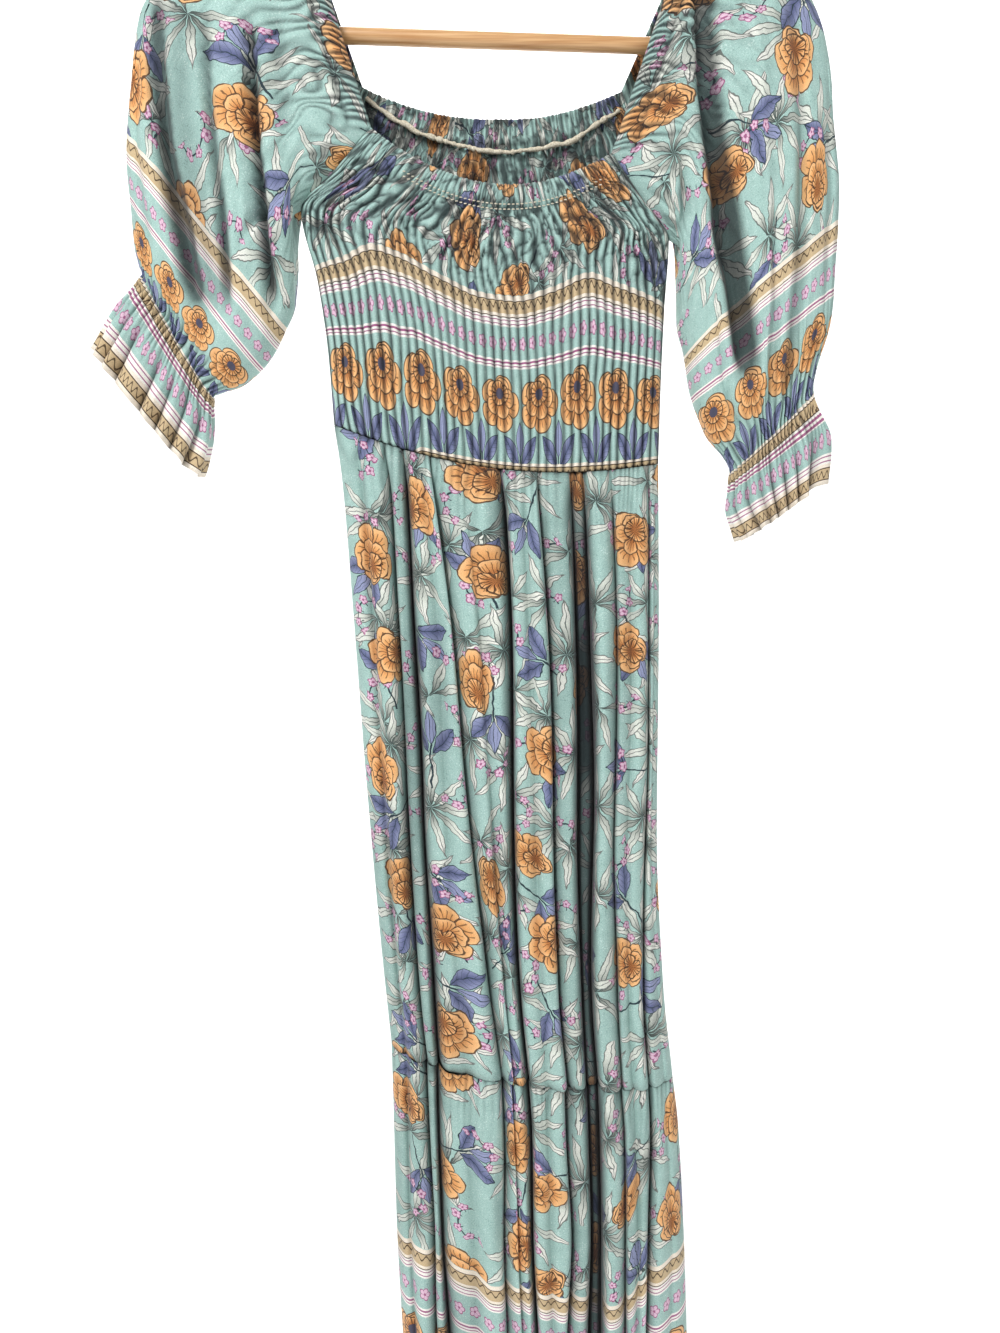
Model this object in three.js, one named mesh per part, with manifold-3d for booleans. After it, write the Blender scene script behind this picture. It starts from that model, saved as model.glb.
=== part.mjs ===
// Maxi dress with a shirred bodice, balloon sleeves and a two-tier gathered skirt, on a wooden trouser
// hanger. Millimetres, +Z up. The origin is the seat of the hanger's hook, +X is to the right of someone
// who faces the dress, and the front of the dress faces -Y.
import * as THREE from 'three';
import { mergeVertices } from 'three/addons/utils/BufferGeometryUtils.js';
import Module from 'manifold-3d';

// ---------------------------------------------------------------- driving sizes

const WALL = 1.2; // cloth wall
const SEAM = 0.3; // each sewn edge stands back this far from its seam line
const ARMHOLE_EASE = 1; // the same at the slanted armhole seams
const SEAT = 1.4; // clearance of the neckline casing from the hanger's arms that carry it

const HANGER = {
  tilt: THREE.MathUtils.degToRad(1.8), // the right end hangs lower
  barDrop: 206, // hook seat to the axis of the trouser bar
  barRadius: 6.6,
  barHalf: 211,
  armRise: 100, // lower edge of the arms above the bar's axis, at the middle
  armReach: 205, // where that lower edge comes down to the bar's axis
  armHalf: 234, // middle to tip
  neckHeight: 27,
  tipHeight: 18,
  thickness: 18,
  rounding: 4,
  wire: 2, // radius of the hook's wire
  hookRadius: 20,
  stemSunk: 22,
  fit: 0.3, // glued fits of the bar and the stem
};

// Sections of the front and back panels. xl, zl and xr, zr: the left and right seams. sag: how far the
// middle hangs below the line between them. depth: half the depth of the dress there. edge: depth at the
// seams themselves, where an armhole holds them forward. fold: share of the full depth of the skirt folds.
const BODICE_FRONT = [
  { name: 'neck', xl: -106, zl: -283, xr: 92, zr: -303, sag: 35, depth: 27, edge: 21 },
  { name: 'armhole', xl: -137, zl: -312, xr: 117.5, zr: -334, sag: 28, depth: 27, edge: 10.5 },
  { name: 'underarm', xl: -168, zl: -341, xr: 143, zr: -365, sag: 20, depth: 27, edge: 0 },
  { name: 'bust', xl: -155, zl: -400, xr: 140, zr: -425, sag: 20, depth: 27, edge: 0 },
  { name: 'ribs', xl: -147, zl: -460, xr: 138, zr: -490, sag: 22, depth: 25, edge: 0 },
  { name: 'waist', xl: -143, zl: -519, xr: 137, zr: -552, sag: 22, depth: 24, edge: 0 },
];
const BODICE_BACK = [
  { name: 'neck', xl: -118, zl: -233, xr: 104, zr: -237, sag: 24, depth: 25, edge: 21 },
  { name: 'armhole', xl: -143, zl: -287, xr: 123.5, zr: -301, sag: 18, depth: 26, edge: 10.5 },
  ...BODICE_FRONT.slice(2),
];
const UPPER_TIER = [
  { name: 'waist', xl: -143, zl: -519, xr: 137, zr: -552, sag: 22, depth: 24, fold: 0.2 },
  { name: 'gathers', xl: -137, zl: -565, xr: 138, zr: -598, sag: 20, depth: 29, fold: 0.7 },
  { name: 'hip', xl: -129, zl: -680, xr: 140, zr: -712, sag: 14, depth: 34, fold: 1 },
  { name: 'thigh', xl: -119, zl: -840, xr: 141, zr: -872, sag: 10, depth: 37, fold: 1 },
  { name: 'knee', xl: -108, zl: -985, xr: 149, zr: -1018, sag: 10, depth: 39, fold: 1 },
  { name: 'tier seam', xl: -100, zl: -1074, xr: 159, zr: -1105, sag: 9, depth: 39, fold: 0.9 },
];
const LOWER_TIER = [
  UPPER_TIER.at(-1),
  { name: 'gathers', xl: -99, zl: -1125, xr: 165, zr: -1152, sag: 8, depth: 41, fold: 1 },
  { name: 'calf', xl: -97, zl: -1250, xr: 173, zr: -1272, sag: 6, depth: 43, fold: 1 },
  { name: 'border', xl: -92, zl: -1370, xr: 178, zr: -1388, sag: 5, depth: 45, fold: 1 },
  { name: 'hem', xl: -88, zl: -1470, xr: 181, zr: -1484, sag: 4, depth: 46, fold: 1.05 },
];

// Grooves between the skirt's folds. waist, seam, hem: place across the panel at those three heights,
// from -1 at the left seam to 1 at the right one. half: half width of the mouth. deep: full depth.
// late: the groove belongs to the lower tier's own gathers and starts from nothing at the tier seam.
const FRONT_GROOVES = [
  { waist: -0.86, seam: -0.89, hem: -0.91, half: 4, deep: 12 },
  { waist: -0.68, seam: -0.77, hem: -0.8, half: 5, deep: 18 },
  { waist: -0.5, seam: -0.64, hem: -0.68, half: 5, deep: 22 },
  { waist: -0.24, seam: -0.36, hem: -0.42, half: 4.5, deep: 18 },
  { waist: 0.03, seam: -0.05, hem: -0.1, half: 5, deep: 22 },
  { waist: 0.23, seam: 0.2, hem: 0.14, half: 4, deep: 14 },
  { waist: 0.46, seam: 0.42, hem: 0.29, half: 7, deep: 25 },
  { waist: 0.7, seam: 0.62, hem: 0.5, half: 4.5, deep: 16 },
  { waist: 0.88, seam: 0.8, hem: 0.66, half: 5, deep: 18 },
];
const BACK_GROOVES = [
  { waist: -0.84, seam: -0.86, hem: -0.88, half: 4.5, deep: 14 },
  { waist: -0.62, seam: -0.7, hem: -0.72, half: 5, deep: 20 },
  { waist: -0.38, seam: -0.45, hem: -0.5, half: 6, deep: 24 },
  { waist: -0.14, seam: -0.2, hem: -0.24, half: 4, deep: 15 },
  { waist: 0.1, seam: 0.05, hem: 0, half: 5.5, deep: 22 },
  { waist: 0.34, seam: 0.3, hem: 0.24, half: 4.5, deep: 17 },
  { waist: 0.56, seam: 0.52, hem: 0.44, half: 6, deep: 23 },
  { waist: 0.8, seam: 0.76, hem: 0.68, half: 4.5, deep: 15 },
];
const LATE_GROOVES = [
  { waist: -0.22, seam: -0.22, hem: -0.27, half: 4, deep: 14, late: true },
  { waist: 0.94, seam: 0.92, hem: 0.84, half: 3.5, deep: 10, late: true },
];

// Rings of each sleeve, from the armhole to the cuff's hem. xo, zo: its outer (at first its top) point.
// xi, zi: its inner point, under the arm. depth: half its depth. bulge: how far its middle stands in
// towards the body from the line between those points. fold: share of the full depth of the folds.
const LEFT_SLEEVE = [
  { name: 'head', xo: -196, zo: -128, xi: -179, zi: -350, depth: 26, bulge: 34, fold: 0.5 },
  { name: 'shoulder', xo: -252, zo: -142, xi: -174, zi: -388, depth: 28, bulge: 16, fold: 1 },
  { name: 'upper', xo: -296, zo: -182, xi: -175, zi: -418, depth: 29, bulge: 8, fold: 1 },
  { name: 'mid', xo: -308, zo: -250, xi: -183, zi: -440, depth: 30, bulge: 2, fold: 1 },
  { name: 'balloon', xo: -311, zo: -312, xi: -199, zi: -467, depth: 30, bulge: 0, fold: 1 },
  { name: 'above cuff', xo: -309, zo: -362, xi: -224, zi: -487, depth: 27, bulge: 0, fold: 0.8 },
  { name: 'elastic', xo: -303, zo: -392, xi: -246, zi: -495, depth: 17, bulge: 0, fold: 0.3 },
  { name: 'flounce', xo: -324, zo: -420, xi: -250, zi: -527, depth: 20, bulge: 0, fold: 0.6 },
  { name: 'cuff hem', xo: -346, zo: -456, xi: -262, zi: -563, depth: 24, bulge: 0, fold: 0.8 },
];
const RIGHT_SLEEVE = [
  { name: 'head', xo: 190, zo: -136, xi: 154, zi: -375, depth: 26, bulge: 32, fold: 0.5 },
  { name: 'shoulder', xo: 236, zo: -150, xi: 150, zi: -408, depth: 28, bulge: 16, fold: 1 },
  { name: 'upper', xo: 265, zo: -192, xi: 151, zi: -436, depth: 30, bulge: 8, fold: 1 },
  { name: 'mid', xo: 277, zo: -262, xi: 157, zi: -458, depth: 31, bulge: 2, fold: 1 },
  { name: 'balloon', xo: 285, zo: -340, xi: 163, zi: -488, depth: 31, bulge: 0, fold: 1 },
  { name: 'above cuff', xo: 282, zo: -420, xi: 177, zi: -525, depth: 28, bulge: 0, fold: 0.8 },
  { name: 'elastic', xo: 270, zo: -488, xi: 199, zi: -558, depth: 17, bulge: 0, fold: 0.3 },
  { name: 'flounce', xo: 282, zo: -530, xi: 198, zi: -588, depth: 20, bulge: 0, fold: 0.6 },
  { name: 'cuff hem', xo: 277, zo: -568, xi: 212, zi: -617, depth: 24, bulge: 0, fold: 0.8 },
];
// Neckline corners of the armholes, and where the casing crosses the hanger's arm.
const LEFT_ARMHOLE = { top: -154, front: BODICE_FRONT[0], back: BODICE_BACK[0], under: BODICE_FRONT[2] };
const RIGHT_ARMHOLE = { ...LEFT_ARMHOLE, top: 147 };
const ARMHOLE_DEPTH = 21;

// Folds that run down a sleeve. at: share of the way from its outer to its inner side. half: half width as
// such a share. deep: depth in mm, less than nothing for a ridge.
const SLEEVE_FOLDS = {
  front: [
    { at: 0.26, half: 0.13, deep: 11 },
    { at: 0.6, half: 0.15, deep: 13 },
    { at: 0.83, half: 0.11, deep: -6 },
  ],
  back: [
    { at: 0.34, half: 0.15, deep: 12 },
    { at: 0.7, half: 0.14, deep: 10 },
  ],
};

const FINISH = {
  cloth: { color: 0x8fc4bc, roughness: 0.85, metalness: 0 },
  wood: { color: 0xc9ab84, roughness: 0.55, metalness: 0 },
  steel: { color: 0xb9bcc0, roughness: 0.25, metalness: 1 },
};

// ---------------------------------------------------------------- meshes and solids

const wasm = await Module();
wasm.setup();

/** A named mesh in one of the finishes. */
function piece(name, geometry, finish) {
  const mesh = new THREE.Mesh(geometry, new THREE.MeshStandardMaterial(FINISH[finish]));
  mesh.name = name;
  return mesh;
}

/** The closed solid of a geometry, for a boolean cut. */
function solidOf(geometry) {
  const bare = geometry.clone();
  bare.deleteAttribute('normal');
  bare.deleteAttribute('uv');
  const merged = mergeVertices(bare.index ? bare.toNonIndexed() : bare, 1e-4);
  const vertProperties = new Float32Array(merged.attributes.position.array);
  const triVerts = new Uint32Array(merged.index.array);
  return new wasm.Manifold(new wasm.Mesh({ numProp: 3, vertProperties, triVerts }));
}

/** A geometry from a solid. */
function geometryOf(solid) {
  const { vertProperties, triVerts } = solid.getMesh();
  const geometry = new THREE.BufferGeometry();
  geometry.setAttribute('position', new THREE.BufferAttribute(vertProperties, 3));
  geometry.setIndex(new THREE.BufferAttribute(triVerts, 1));
  geometry.computeVertexNormals();
  return geometry;
}

/**
 * The way each grid point moves so that every face round it moves out by one unit: the least-squares
 * solution of (face normal . way) = 1, held back a little where a fold is sharp.
 */
function mitres(rows, closed) {
  const across = rows[0].length;
  const quads = closed ? across : across - 1;
  const normals = rows.slice(1).map((row, r) =>
    Array.from({ length: quads }, (_, c) => {
      const next = (c + 1) % across;
      const down = new THREE.Vector3().subVectors(row[next], rows[r][c]);
      const up = new THREE.Vector3().subVectors(rows[r][next], row[c]);
      return down.cross(up).normalize();
    }));
  const wrap = (c) => (closed ? (c + quads) % quads : c);
  return rows.map((row, r) => row.map((_, c) => {
    const around = [r - 1, r]
      .flatMap((i) => [c - 1, c].map((j) => normals[i]?.[wrap(j)]))
      .filter(Boolean);
    const sum = new THREE.Vector3();
    const hold = 0.015 * around.length;
    const m = new THREE.Matrix3().set(hold, 0, 0, 0, hold, 0, 0, 0, hold);
    for (const n of around) {
      sum.add(n);
      const outer = [n.x * n.x, n.x * n.y, n.x * n.z, n.y * n.x, n.y * n.y, n.y * n.z, n.z * n.x, n.z * n.y, n.z * n.z];
      m.elements.forEach((value, k) => { m.elements[k] = value + outer[k]; });
    }
    return sum.applyMatrix3(m.invert());
  }));
}

/** A closed cloth wall, WALL thick, whose middle surface is a grid of points, open or joined round. */
function clothWall(rows, closed = false) {
  const ways = mitres(rows, closed);
  const across = rows[0].length;
  const last = rows.length - 1;
  const shift = (side) => rows.flatMap((row, r) =>
    row.map((p, c) => p.clone().addScaledVector(ways[r][c], (side * WALL) / 2)));
  const points = [...shift(1), ...shift(-1)];
  const id = (layer, r, c) => layer * rows.length * across + r * across + (c % across);
  const index = [];
  const quad = (a, b, c, d) => index.push(a, b, c, a, c, d);
  for (let r = 0; r < last; r += 1) {
    for (let c = 0; c < (closed ? across : across - 1); c += 1) {
      quad(id(0, r, c), id(0, r + 1, c), id(0, r + 1, c + 1), id(0, r, c + 1));
      quad(id(1, r, c), id(1, r, c + 1), id(1, r + 1, c + 1), id(1, r + 1, c));
    }
    if (!closed) {
      quad(id(0, r, 0), id(1, r, 0), id(1, r + 1, 0), id(0, r + 1, 0));
      quad(id(0, r, across - 1), id(0, r + 1, across - 1), id(1, r + 1, across - 1), id(1, r, across - 1));
    }
  }
  for (let c = 0; c < (closed ? across : across - 1); c += 1) {
    quad(id(0, 0, c), id(0, 0, c + 1), id(1, 0, c + 1), id(1, 0, c));
    quad(id(0, last, c), id(1, last, c), id(1, last, c + 1), id(0, last, c + 1));
  }
  return outward(points, index);
}

/** A geometry whose faces point out: all turned round where the volume comes out negative. */
function outward(points, index) {
  let volume = 0;
  for (let i = 0; i < index.length; i += 3) {
    const [a, b, c] = [points[index[i]], points[index[i + 1]], points[index[i + 2]]];
    volume += a.dot(new THREE.Vector3().crossVectors(b, c));
  }
  const geometry = new THREE.BufferGeometry().setFromPoints(points);
  geometry.setIndex(volume < 0 ? [...index].reverse() : index);
  geometry.computeVertexNormals();
  return geometry;
}

// ---------------------------------------------------------------- hanger

/** Lower edge and height of the hanger's arms at a distance from its middle, before it is tilted. */
function armAt(x) {
  const low = -HANGER.barDrop + HANGER.armRise * (1 - (x / HANGER.armReach) ** 2);
  const height = THREE.MathUtils.lerp(HANGER.neckHeight, HANGER.tipHeight, Math.abs(x) / HANGER.armHalf);
  return { low, high: low + height };
}

/** Height of the tilted hanger's upper edge over a place x. */
function shoulderTop(x) {
  let flat = x;
  for (let i = 0; i < 4; i += 1) {
    flat = (x - armAt(flat).high * Math.sin(HANGER.tilt)) / Math.cos(HANGER.tilt);
  }
  return -flat * Math.sin(HANGER.tilt) + armAt(flat).high * Math.cos(HANGER.tilt);
}

/** The one-piece wooden arms, with rounded edges, sockets for the bar's ends and a hole for the stem. */
function hangerArms() {
  const { armHalf, thickness, rounding, fit } = HANGER;
  const outline = new THREE.Shape(); // stands in by the rounding, which the bevel gives back
  const steps = 14;
  const end = armHalf - rounding;
  const tip = armAt(end);
  const tipMiddle = (tip.high + tip.low) / 2;
  const tipOut = end + HANGER.tipHeight * 0.4;
  const xs = Array.from({ length: 2 * steps + 1 }, (_, i) => (end * (i - steps)) / steps);
  xs.forEach((x, i) => outline[i ? 'lineTo' : 'moveTo'](x, armAt(x).high - rounding));
  outline.quadraticCurveTo(tipOut, tipMiddle, end, tip.low + rounding);
  xs.reverse().slice(1).forEach((x) => outline.lineTo(x, armAt(x).low + rounding));
  outline.quadraticCurveTo(-tipOut, tipMiddle, -end, tip.high - rounding);
  const body = new THREE.ExtrudeGeometry(outline, {
    depth: thickness - 2 * rounding,
    bevelThickness: rounding,
    bevelSize: rounding,
    bevelSegments: 2,
    curveSegments: 5,
  });
  body.translate(0, 0, -(thickness - 2 * rounding) / 2).rotateX(Math.PI / 2);
  const sockets = new THREE.CylinderGeometry(HANGER.barRadius + fit, HANGER.barRadius + fit,
    2 * (HANGER.barHalf + fit), 24).rotateZ(Math.PI / 2).translate(0, 0, -HANGER.barDrop);
  const holeDepth = HANGER.stemSunk + fit;
  const stemHole = new THREE.CylinderGeometry(HANGER.wire + fit, HANGER.wire + fit, 2 * holeDepth, 16)
    .rotateX(Math.PI / 2).translate(0, 0, armAt(0).high);
  return geometryOf(solidOf(body).subtract(solidOf(sockets)).subtract(solidOf(stemHole)));
}

/** The wire hook: a sunk stem, a bend to the side and a round seat whose inside top is the origin. */
function hangerHook() {
  const { hookRadius, wire, stemSunk } = HANGER;
  const centre = new THREE.Vector2(0, wire - hookRadius);
  const start = THREE.MathUtils.degToRad(215);
  const end = THREE.MathUtils.degToRad(-25);
  const at = (angle) => new THREE.Vector3(
    centre.x + hookRadius * Math.cos(angle), 0, centre.y + hookRadius * Math.sin(angle));
  const bendStart = new THREE.Vector3(0, 0, -62);
  const pull = 12;
  const into = at(start).add(new THREE.Vector3(-Math.sin(start) * pull, 0, Math.cos(start) * pull));
  const path = new THREE.CurvePath();
  path.add(new THREE.LineCurve3(new THREE.Vector3(0, 0, armAt(0).high - stemSunk), bendStart));
  path.add(new THREE.CubicBezierCurve3(bendStart, new THREE.Vector3(0, 0, -62 + pull), into, at(start)));
  const arc = Array.from({ length: 25 }, (_, i) => at(THREE.MathUtils.lerp(start, end, i / 24)));
  path.add(new THREE.CatmullRomCurve3(arc));
  const section = new THREE.Shape().absarc(0, 0, wire, 0, 2 * Math.PI);
  return new THREE.ExtrudeGeometry(section, { extrudePath: path, steps: 44, curveSegments: 5 });
}

/** The dowel that joins the arms' ends. */
function hangerBar() {
  return new THREE.CylinderGeometry(HANGER.barRadius, HANGER.barRadius, 2 * HANGER.barHalf, 24)
    .rotateZ(Math.PI / 2).translate(0, 0, -HANGER.barDrop);
}

// ---------------------------------------------------------------- front and back panels

const FRONT = -1;
const BACK = 1;

/** Place and height of a section at xi, from -1 at its left seam to 1 at its right one. */
function across(section, xi) {
  const x = (section.xl + section.xr) / 2 + ((section.xr - section.xl) / 2) * xi;
  const z = (section.zl + section.zr) / 2 + ((section.zr - section.zl) / 2) * xi;
  return { x, z: z - section.sag * (1 - xi * xi) };
}

/** How far the cloth stands from the seams' plane, as a share of the depth: full in the middle, round to 0. */
function roundness(xi) {
  return Math.sqrt(Math.max(0, 1 - xi ** 4));
}

/** One row of a bodice panel. The armhole's part of it stands in from the seam line by the ease. */
function bodiceRow(section, side, count) {
  const armhole = section.name === 'neck' || section.name === 'armhole' || section.name === 'underarm';
  const ease = armhole ? ARMHOLE_EASE : 0;
  const inset = { ...section, xl: section.xl + ease, xr: section.xr - ease };
  return Array.from({ length: count + 1 }, (_, i) => {
    const xi = -Math.cos((Math.PI * i) / count);
    const { x, z } = across(inset, xi);
    const edge = Math.max(section.edge, SEAM);
    const y = edge + (section.depth - edge) * roundness(xi);
    return new THREE.Vector3(x, side * y, z);
  });
}

/** A bodice panel. The waist row stands just above the waist seam. */
function bodicePanel(sections, side) {
  const rows = sections.map((section) => bodiceRow(section, side, 22));
  rows.at(-1).forEach((point) => { point.z += SEAM; });
  return clothWall(rows);
}

/** A groove's place across the panel at a height. t: 0 at the waist, 1 at the tier seam, 2 at the hem. */
function groovePlace(groove, t) {
  return t <= 1
    ? THREE.MathUtils.lerp(groove.waist, groove.seam, t)
    : THREE.MathUtils.lerp(groove.seam, groove.hem, t - 1);
}

/** Places across a skirt row, each with how far the cloth stands in there: seams, groove lips and floors. */
function skirtStations(section, grooves, t) {
  const width = (section.xr - section.xl) / 2;
  const crown = 2.5 * section.fold;
  const sides = [1, 0.99, 0.965];
  const stations = [...sides].map((xi) => ({ xi: -xi, inset: 0 }));
  let lip = -0.965;
  for (const groove of grooves) {
    const place = groovePlace(groove, t);
    const half = groove.half / width;
    const grown = groove.late ? Math.min(1, Math.max(0, (t - 1) * 3)) : 1;
    const floor = groove.deep * section.fold * grown;
    stations.push({ xi: (lip + place - half) / 2, inset: -crown });
    stations.push({ xi: place - half, inset: 0 }, { xi: place - half * 0.4, inset: floor });
    stations.push({ xi: place + half * 0.4, inset: floor }, { xi: place + half, inset: 0 });
    lip = place + half;
  }
  stations.push({ xi: (lip + 0.965) / 2, inset: -crown });
  return [...stations, ...sides.reverse().map((xi) => ({ xi, inset: 0 }))];
}

/** A skirt panel: a wall whose rows turn in at each groove. */
function skirtPanel(sections, grooves, side, first) {
  const sorted = [...grooves].sort((a, b) => a.seam - b.seam);
  const rows = sections.map((section, r) => {
    const t = first + r / (sections.length - 1);
    return skirtStations(section, sorted, t).map(({ xi, inset }) => {
      const { x, z } = across(section, xi);
      const y = (section.depth - inset) * roundness(xi);
      return new THREE.Vector3(x, side * Math.max(y, SEAM), z);
    });
  });
  rows[0].forEach((point) => { point.z -= SEAM; });
  if (first === 0) rows.at(-1).forEach((point) => { point.z += SEAM; });
  return clothWall(rows);
}

// ---------------------------------------------------------------- sleeves

const HALF_RING = 16; // steps from a ring's outer point to its inner one
const CASING_STEPS = 10; // of those, the steps along the neckline casing in the armhole's ring
const OVER_ARM_STEPS = 2; // and of those, the steps that lie level over the hanger's arm

/** The armhole's ring: over the hanger's arm, down the casing to the neckline corner, then to the underarm. */
function armholeRing(hole, left) {
  const key = left ? ['xl', 'zl'] : ['xr', 'zr'];
  const out = left ? -ARMHOLE_EASE : ARMHOLE_EASE;
  const top = new THREE.Vector3(hole.top, 0, shoulderTop(hole.top) + WALL / 2 + SEAT);
  const under = new THREE.Vector3(hole.under[key[0]] + out, 0, hole.under[key[1]]);
  const half = (row, side) => {
    const corner = new THREE.Vector3(row[key[0]] + out, side * ARMHOLE_DEPTH, row[key[1]]);
    return Array.from({ length: HALF_RING + 1 }, (_, k) => {
      if (k >= CASING_STEPS) {
        return corner.clone().lerp(under, (k - CASING_STEPS) / (HALF_RING - CASING_STEPS));
      }
      const down = Math.max(0, (k - OVER_ARM_STEPS) / (CASING_STEPS - OVER_ARM_STEPS)) ** 1.2;
      const point = top.clone().lerp(corner, down);
      point.y = side * ARMHOLE_DEPTH * Math.sin((Math.PI / 2) * (k / CASING_STEPS) ** 0.7);
      return point;
    });
  };
  return [...half(hole.front, FRONT), ...half(hole.back, BACK).slice(1, -1).reverse()];
}

/** How deep the sleeve's folds are at a share of the way across it. */
function foldDepth(folds, share) {
  return folds.reduce((sum, { at, half, deep }) => {
    const away = Math.abs(share - at) / half;
    return sum + (away < 1 ? deep * Math.cos((away * Math.PI) / 2) ** 2 : 0);
  }, 0);
}

/** A plain ring of a sleeve, from its outer point round the front to its inner point and back. */
function sleeveRing(ring, left) {
  const chord = new THREE.Vector2(ring.xi - ring.xo, ring.zi - ring.zo);
  const inward = new THREE.Vector2(-chord.y, chord.x).normalize().multiplyScalar(left ? 1 : -1);
  return Array.from({ length: 2 * HALF_RING }, (_, k) => {
    const share = (1 - Math.cos((Math.PI * k) / HALF_RING)) / 2;
    const side = k <= HALF_RING ? FRONT : BACK;
    const folds = side === FRONT ? SLEEVE_FOLDS.front : SLEEVE_FOLDS.back;
    const round = Math.sqrt(Math.max(0, 1 - Math.abs(2 * share - 1) ** 3));
    const y = (ring.depth - ring.fold * foldDepth(folds, share)) * round;
    const bulge = ring.bulge * 4 * share * (1 - share);
    return new THREE.Vector3(
      ring.xo + chord.x * share + inward.x * bulge,
      side * y,
      ring.zo + chord.y * share + inward.y * bulge,
    );
  });
}

/** A sleeve with its cuff flounce: one tube, open at the armhole and at the cuff. */
function sleeve(rings, hole, left) {
  return clothWall([armholeRing(hole, left), ...rings.map((ring) => sleeveRing(ring, left))], true);
}

// ---------------------------------------------------------------- assembly

const hanger = new THREE.Group();
hanger.rotation.y = HANGER.tilt;
hanger.add(
  piece('hanger_arms', hangerArms(), 'wood'),
  piece('hanger_bar', hangerBar(), 'wood'),
  piece('hanger_hook', hangerHook(), 'steel'),
);

const dress = new THREE.Group();
dress.add(
  piece('bodice_front', bodicePanel(BODICE_FRONT, FRONT), 'cloth'),
  piece('bodice_back', bodicePanel(BODICE_BACK, BACK), 'cloth'),
  piece('sleeve_left', sleeve(LEFT_SLEEVE, LEFT_ARMHOLE, true), 'cloth'),
  piece('sleeve_right', sleeve(RIGHT_SLEEVE, RIGHT_ARMHOLE, false), 'cloth'),
  piece('skirt_upper_front', skirtPanel(UPPER_TIER, FRONT_GROOVES, FRONT, 0), 'cloth'),
  piece('skirt_upper_back', skirtPanel(UPPER_TIER, BACK_GROOVES, BACK, 0), 'cloth'),
  piece('skirt_lower_front', skirtPanel(LOWER_TIER, [...FRONT_GROOVES, ...LATE_GROOVES], FRONT, 1), 'cloth'),
  piece('skirt_lower_back', skirtPanel(LOWER_TIER, BACK_GROOVES, BACK, 1), 'cloth'),
);

const group = new THREE.Group();
group.add(hanger, dress);

export default group;
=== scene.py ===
"""Looks of a printed maxi dress with a shirred bodice on a wooden trouser hanger.

Lengths in the tables are millimetres in the part's own frame: the origin is the seat of the hanger's hook,
+X is to the right of someone who faces the dress, the front faces -Y, and +Z is up. Meshes are in metres.
"""
import logging
import math
from dataclasses import astuple, dataclass
from enum import Enum

import bpy
import numpy as np
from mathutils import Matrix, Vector


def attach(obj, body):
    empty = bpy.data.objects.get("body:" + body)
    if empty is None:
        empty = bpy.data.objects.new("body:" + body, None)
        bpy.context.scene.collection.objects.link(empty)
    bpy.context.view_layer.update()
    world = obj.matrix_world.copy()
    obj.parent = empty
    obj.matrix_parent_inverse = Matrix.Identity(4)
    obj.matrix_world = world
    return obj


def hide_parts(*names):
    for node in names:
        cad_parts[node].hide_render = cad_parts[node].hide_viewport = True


log = logging.getLogger("maxi_dress")
MM = 0.001
TURN = 2 * math.pi
BORDER = 191.0  # height of the printed border, from its lower edge up
Array = np.ndarray
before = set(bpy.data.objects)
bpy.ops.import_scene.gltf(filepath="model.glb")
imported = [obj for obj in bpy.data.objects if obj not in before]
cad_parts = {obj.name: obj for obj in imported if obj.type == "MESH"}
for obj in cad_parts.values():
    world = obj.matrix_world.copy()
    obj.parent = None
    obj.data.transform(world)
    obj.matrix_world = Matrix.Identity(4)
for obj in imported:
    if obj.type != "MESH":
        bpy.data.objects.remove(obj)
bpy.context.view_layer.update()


class Side(Enum):
    """Which way a panel faces. The value is the sign of its y."""

    FRONT = -1
    BACK = 1


# ------------------------------------------------------------------ curves and noise


def spline(knots: Array, values: Array, at: Array) -> Array:
    """Smooth curve through a table, without overshoot.

    Cubic Hermite pieces. The slope at a knot is the harmonic mean of the slopes on its two sides, or
    nought where they differ in sign.

    Args:
        knots: Rising places, shape (n,).
        values: Values there, shape (n, ...).
        at: Places to read, shape (m,).

    Returns:
        Values at those places, shape (m, ...).
    """
    knots, values, at = np.asarray(knots, float), np.asarray(values, float), np.asarray(at, float)
    tail = (1,) * (values.ndim - 1)
    step = np.diff(knots).reshape(-1, *tail)
    rise = np.diff(values, axis=0) / step
    both = rise[:-1] + rise[1:]
    same = rise[:-1] * rise[1:] > 0
    inner = np.where(same, 2 * rise[:-1] * rise[1:] / np.where(both == 0, 1, both), 0)
    slope = np.concatenate([rise[:1], inner, rise[-1:]])
    i = np.clip(np.searchsorted(knots, at, side="right") - 1, 0, len(knots) - 2)
    h = step[i]
    t = ((at - knots[i]).reshape(-1, *tail)) / h
    a, b = values[i], values[i + 1]
    return ((1 + 2 * t) * (1 - t) ** 2 * a + t * (1 - t) ** 2 * h * slope[i]
            + t * t * (3 - 2 * t) * b + t * t * (t - 1) * h * slope[i + 1])


def noise(x: Array, y: Array | float, seed: int) -> Array:
    """Smooth noise from -1 to 1: seeded random values on a lattice of unit squares, eased between."""
    size = 64
    values = np.random.default_rng(seed).uniform(-1, 1, (size, size))
    xi, yi = np.floor(x).astype(int), np.floor(y).astype(int)
    fx, fy = x - xi, y - yi
    fx, fy = fx * fx * (3 - 2 * fx), fy * fy * (3 - 2 * fy)
    v00, v10 = values[yi % size, xi % size], values[yi % size, (xi + 1) % size]
    v01, v11 = values[(yi + 1) % size, xi % size], values[(yi + 1) % size, (xi + 1) % size]
    return (v00 * (1 - fx) + v10 * fx) * (1 - fy) + (v01 * (1 - fx) + v11 * fx) * fy


def gather(phase: Array, sharp: float = 0.8) -> Array:
    """Gathered cloth: round crests of height 1 with narrow grooves at 0, one crest a unit of phase."""
    return np.abs(np.sin(np.pi * phase)) ** sharp


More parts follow.
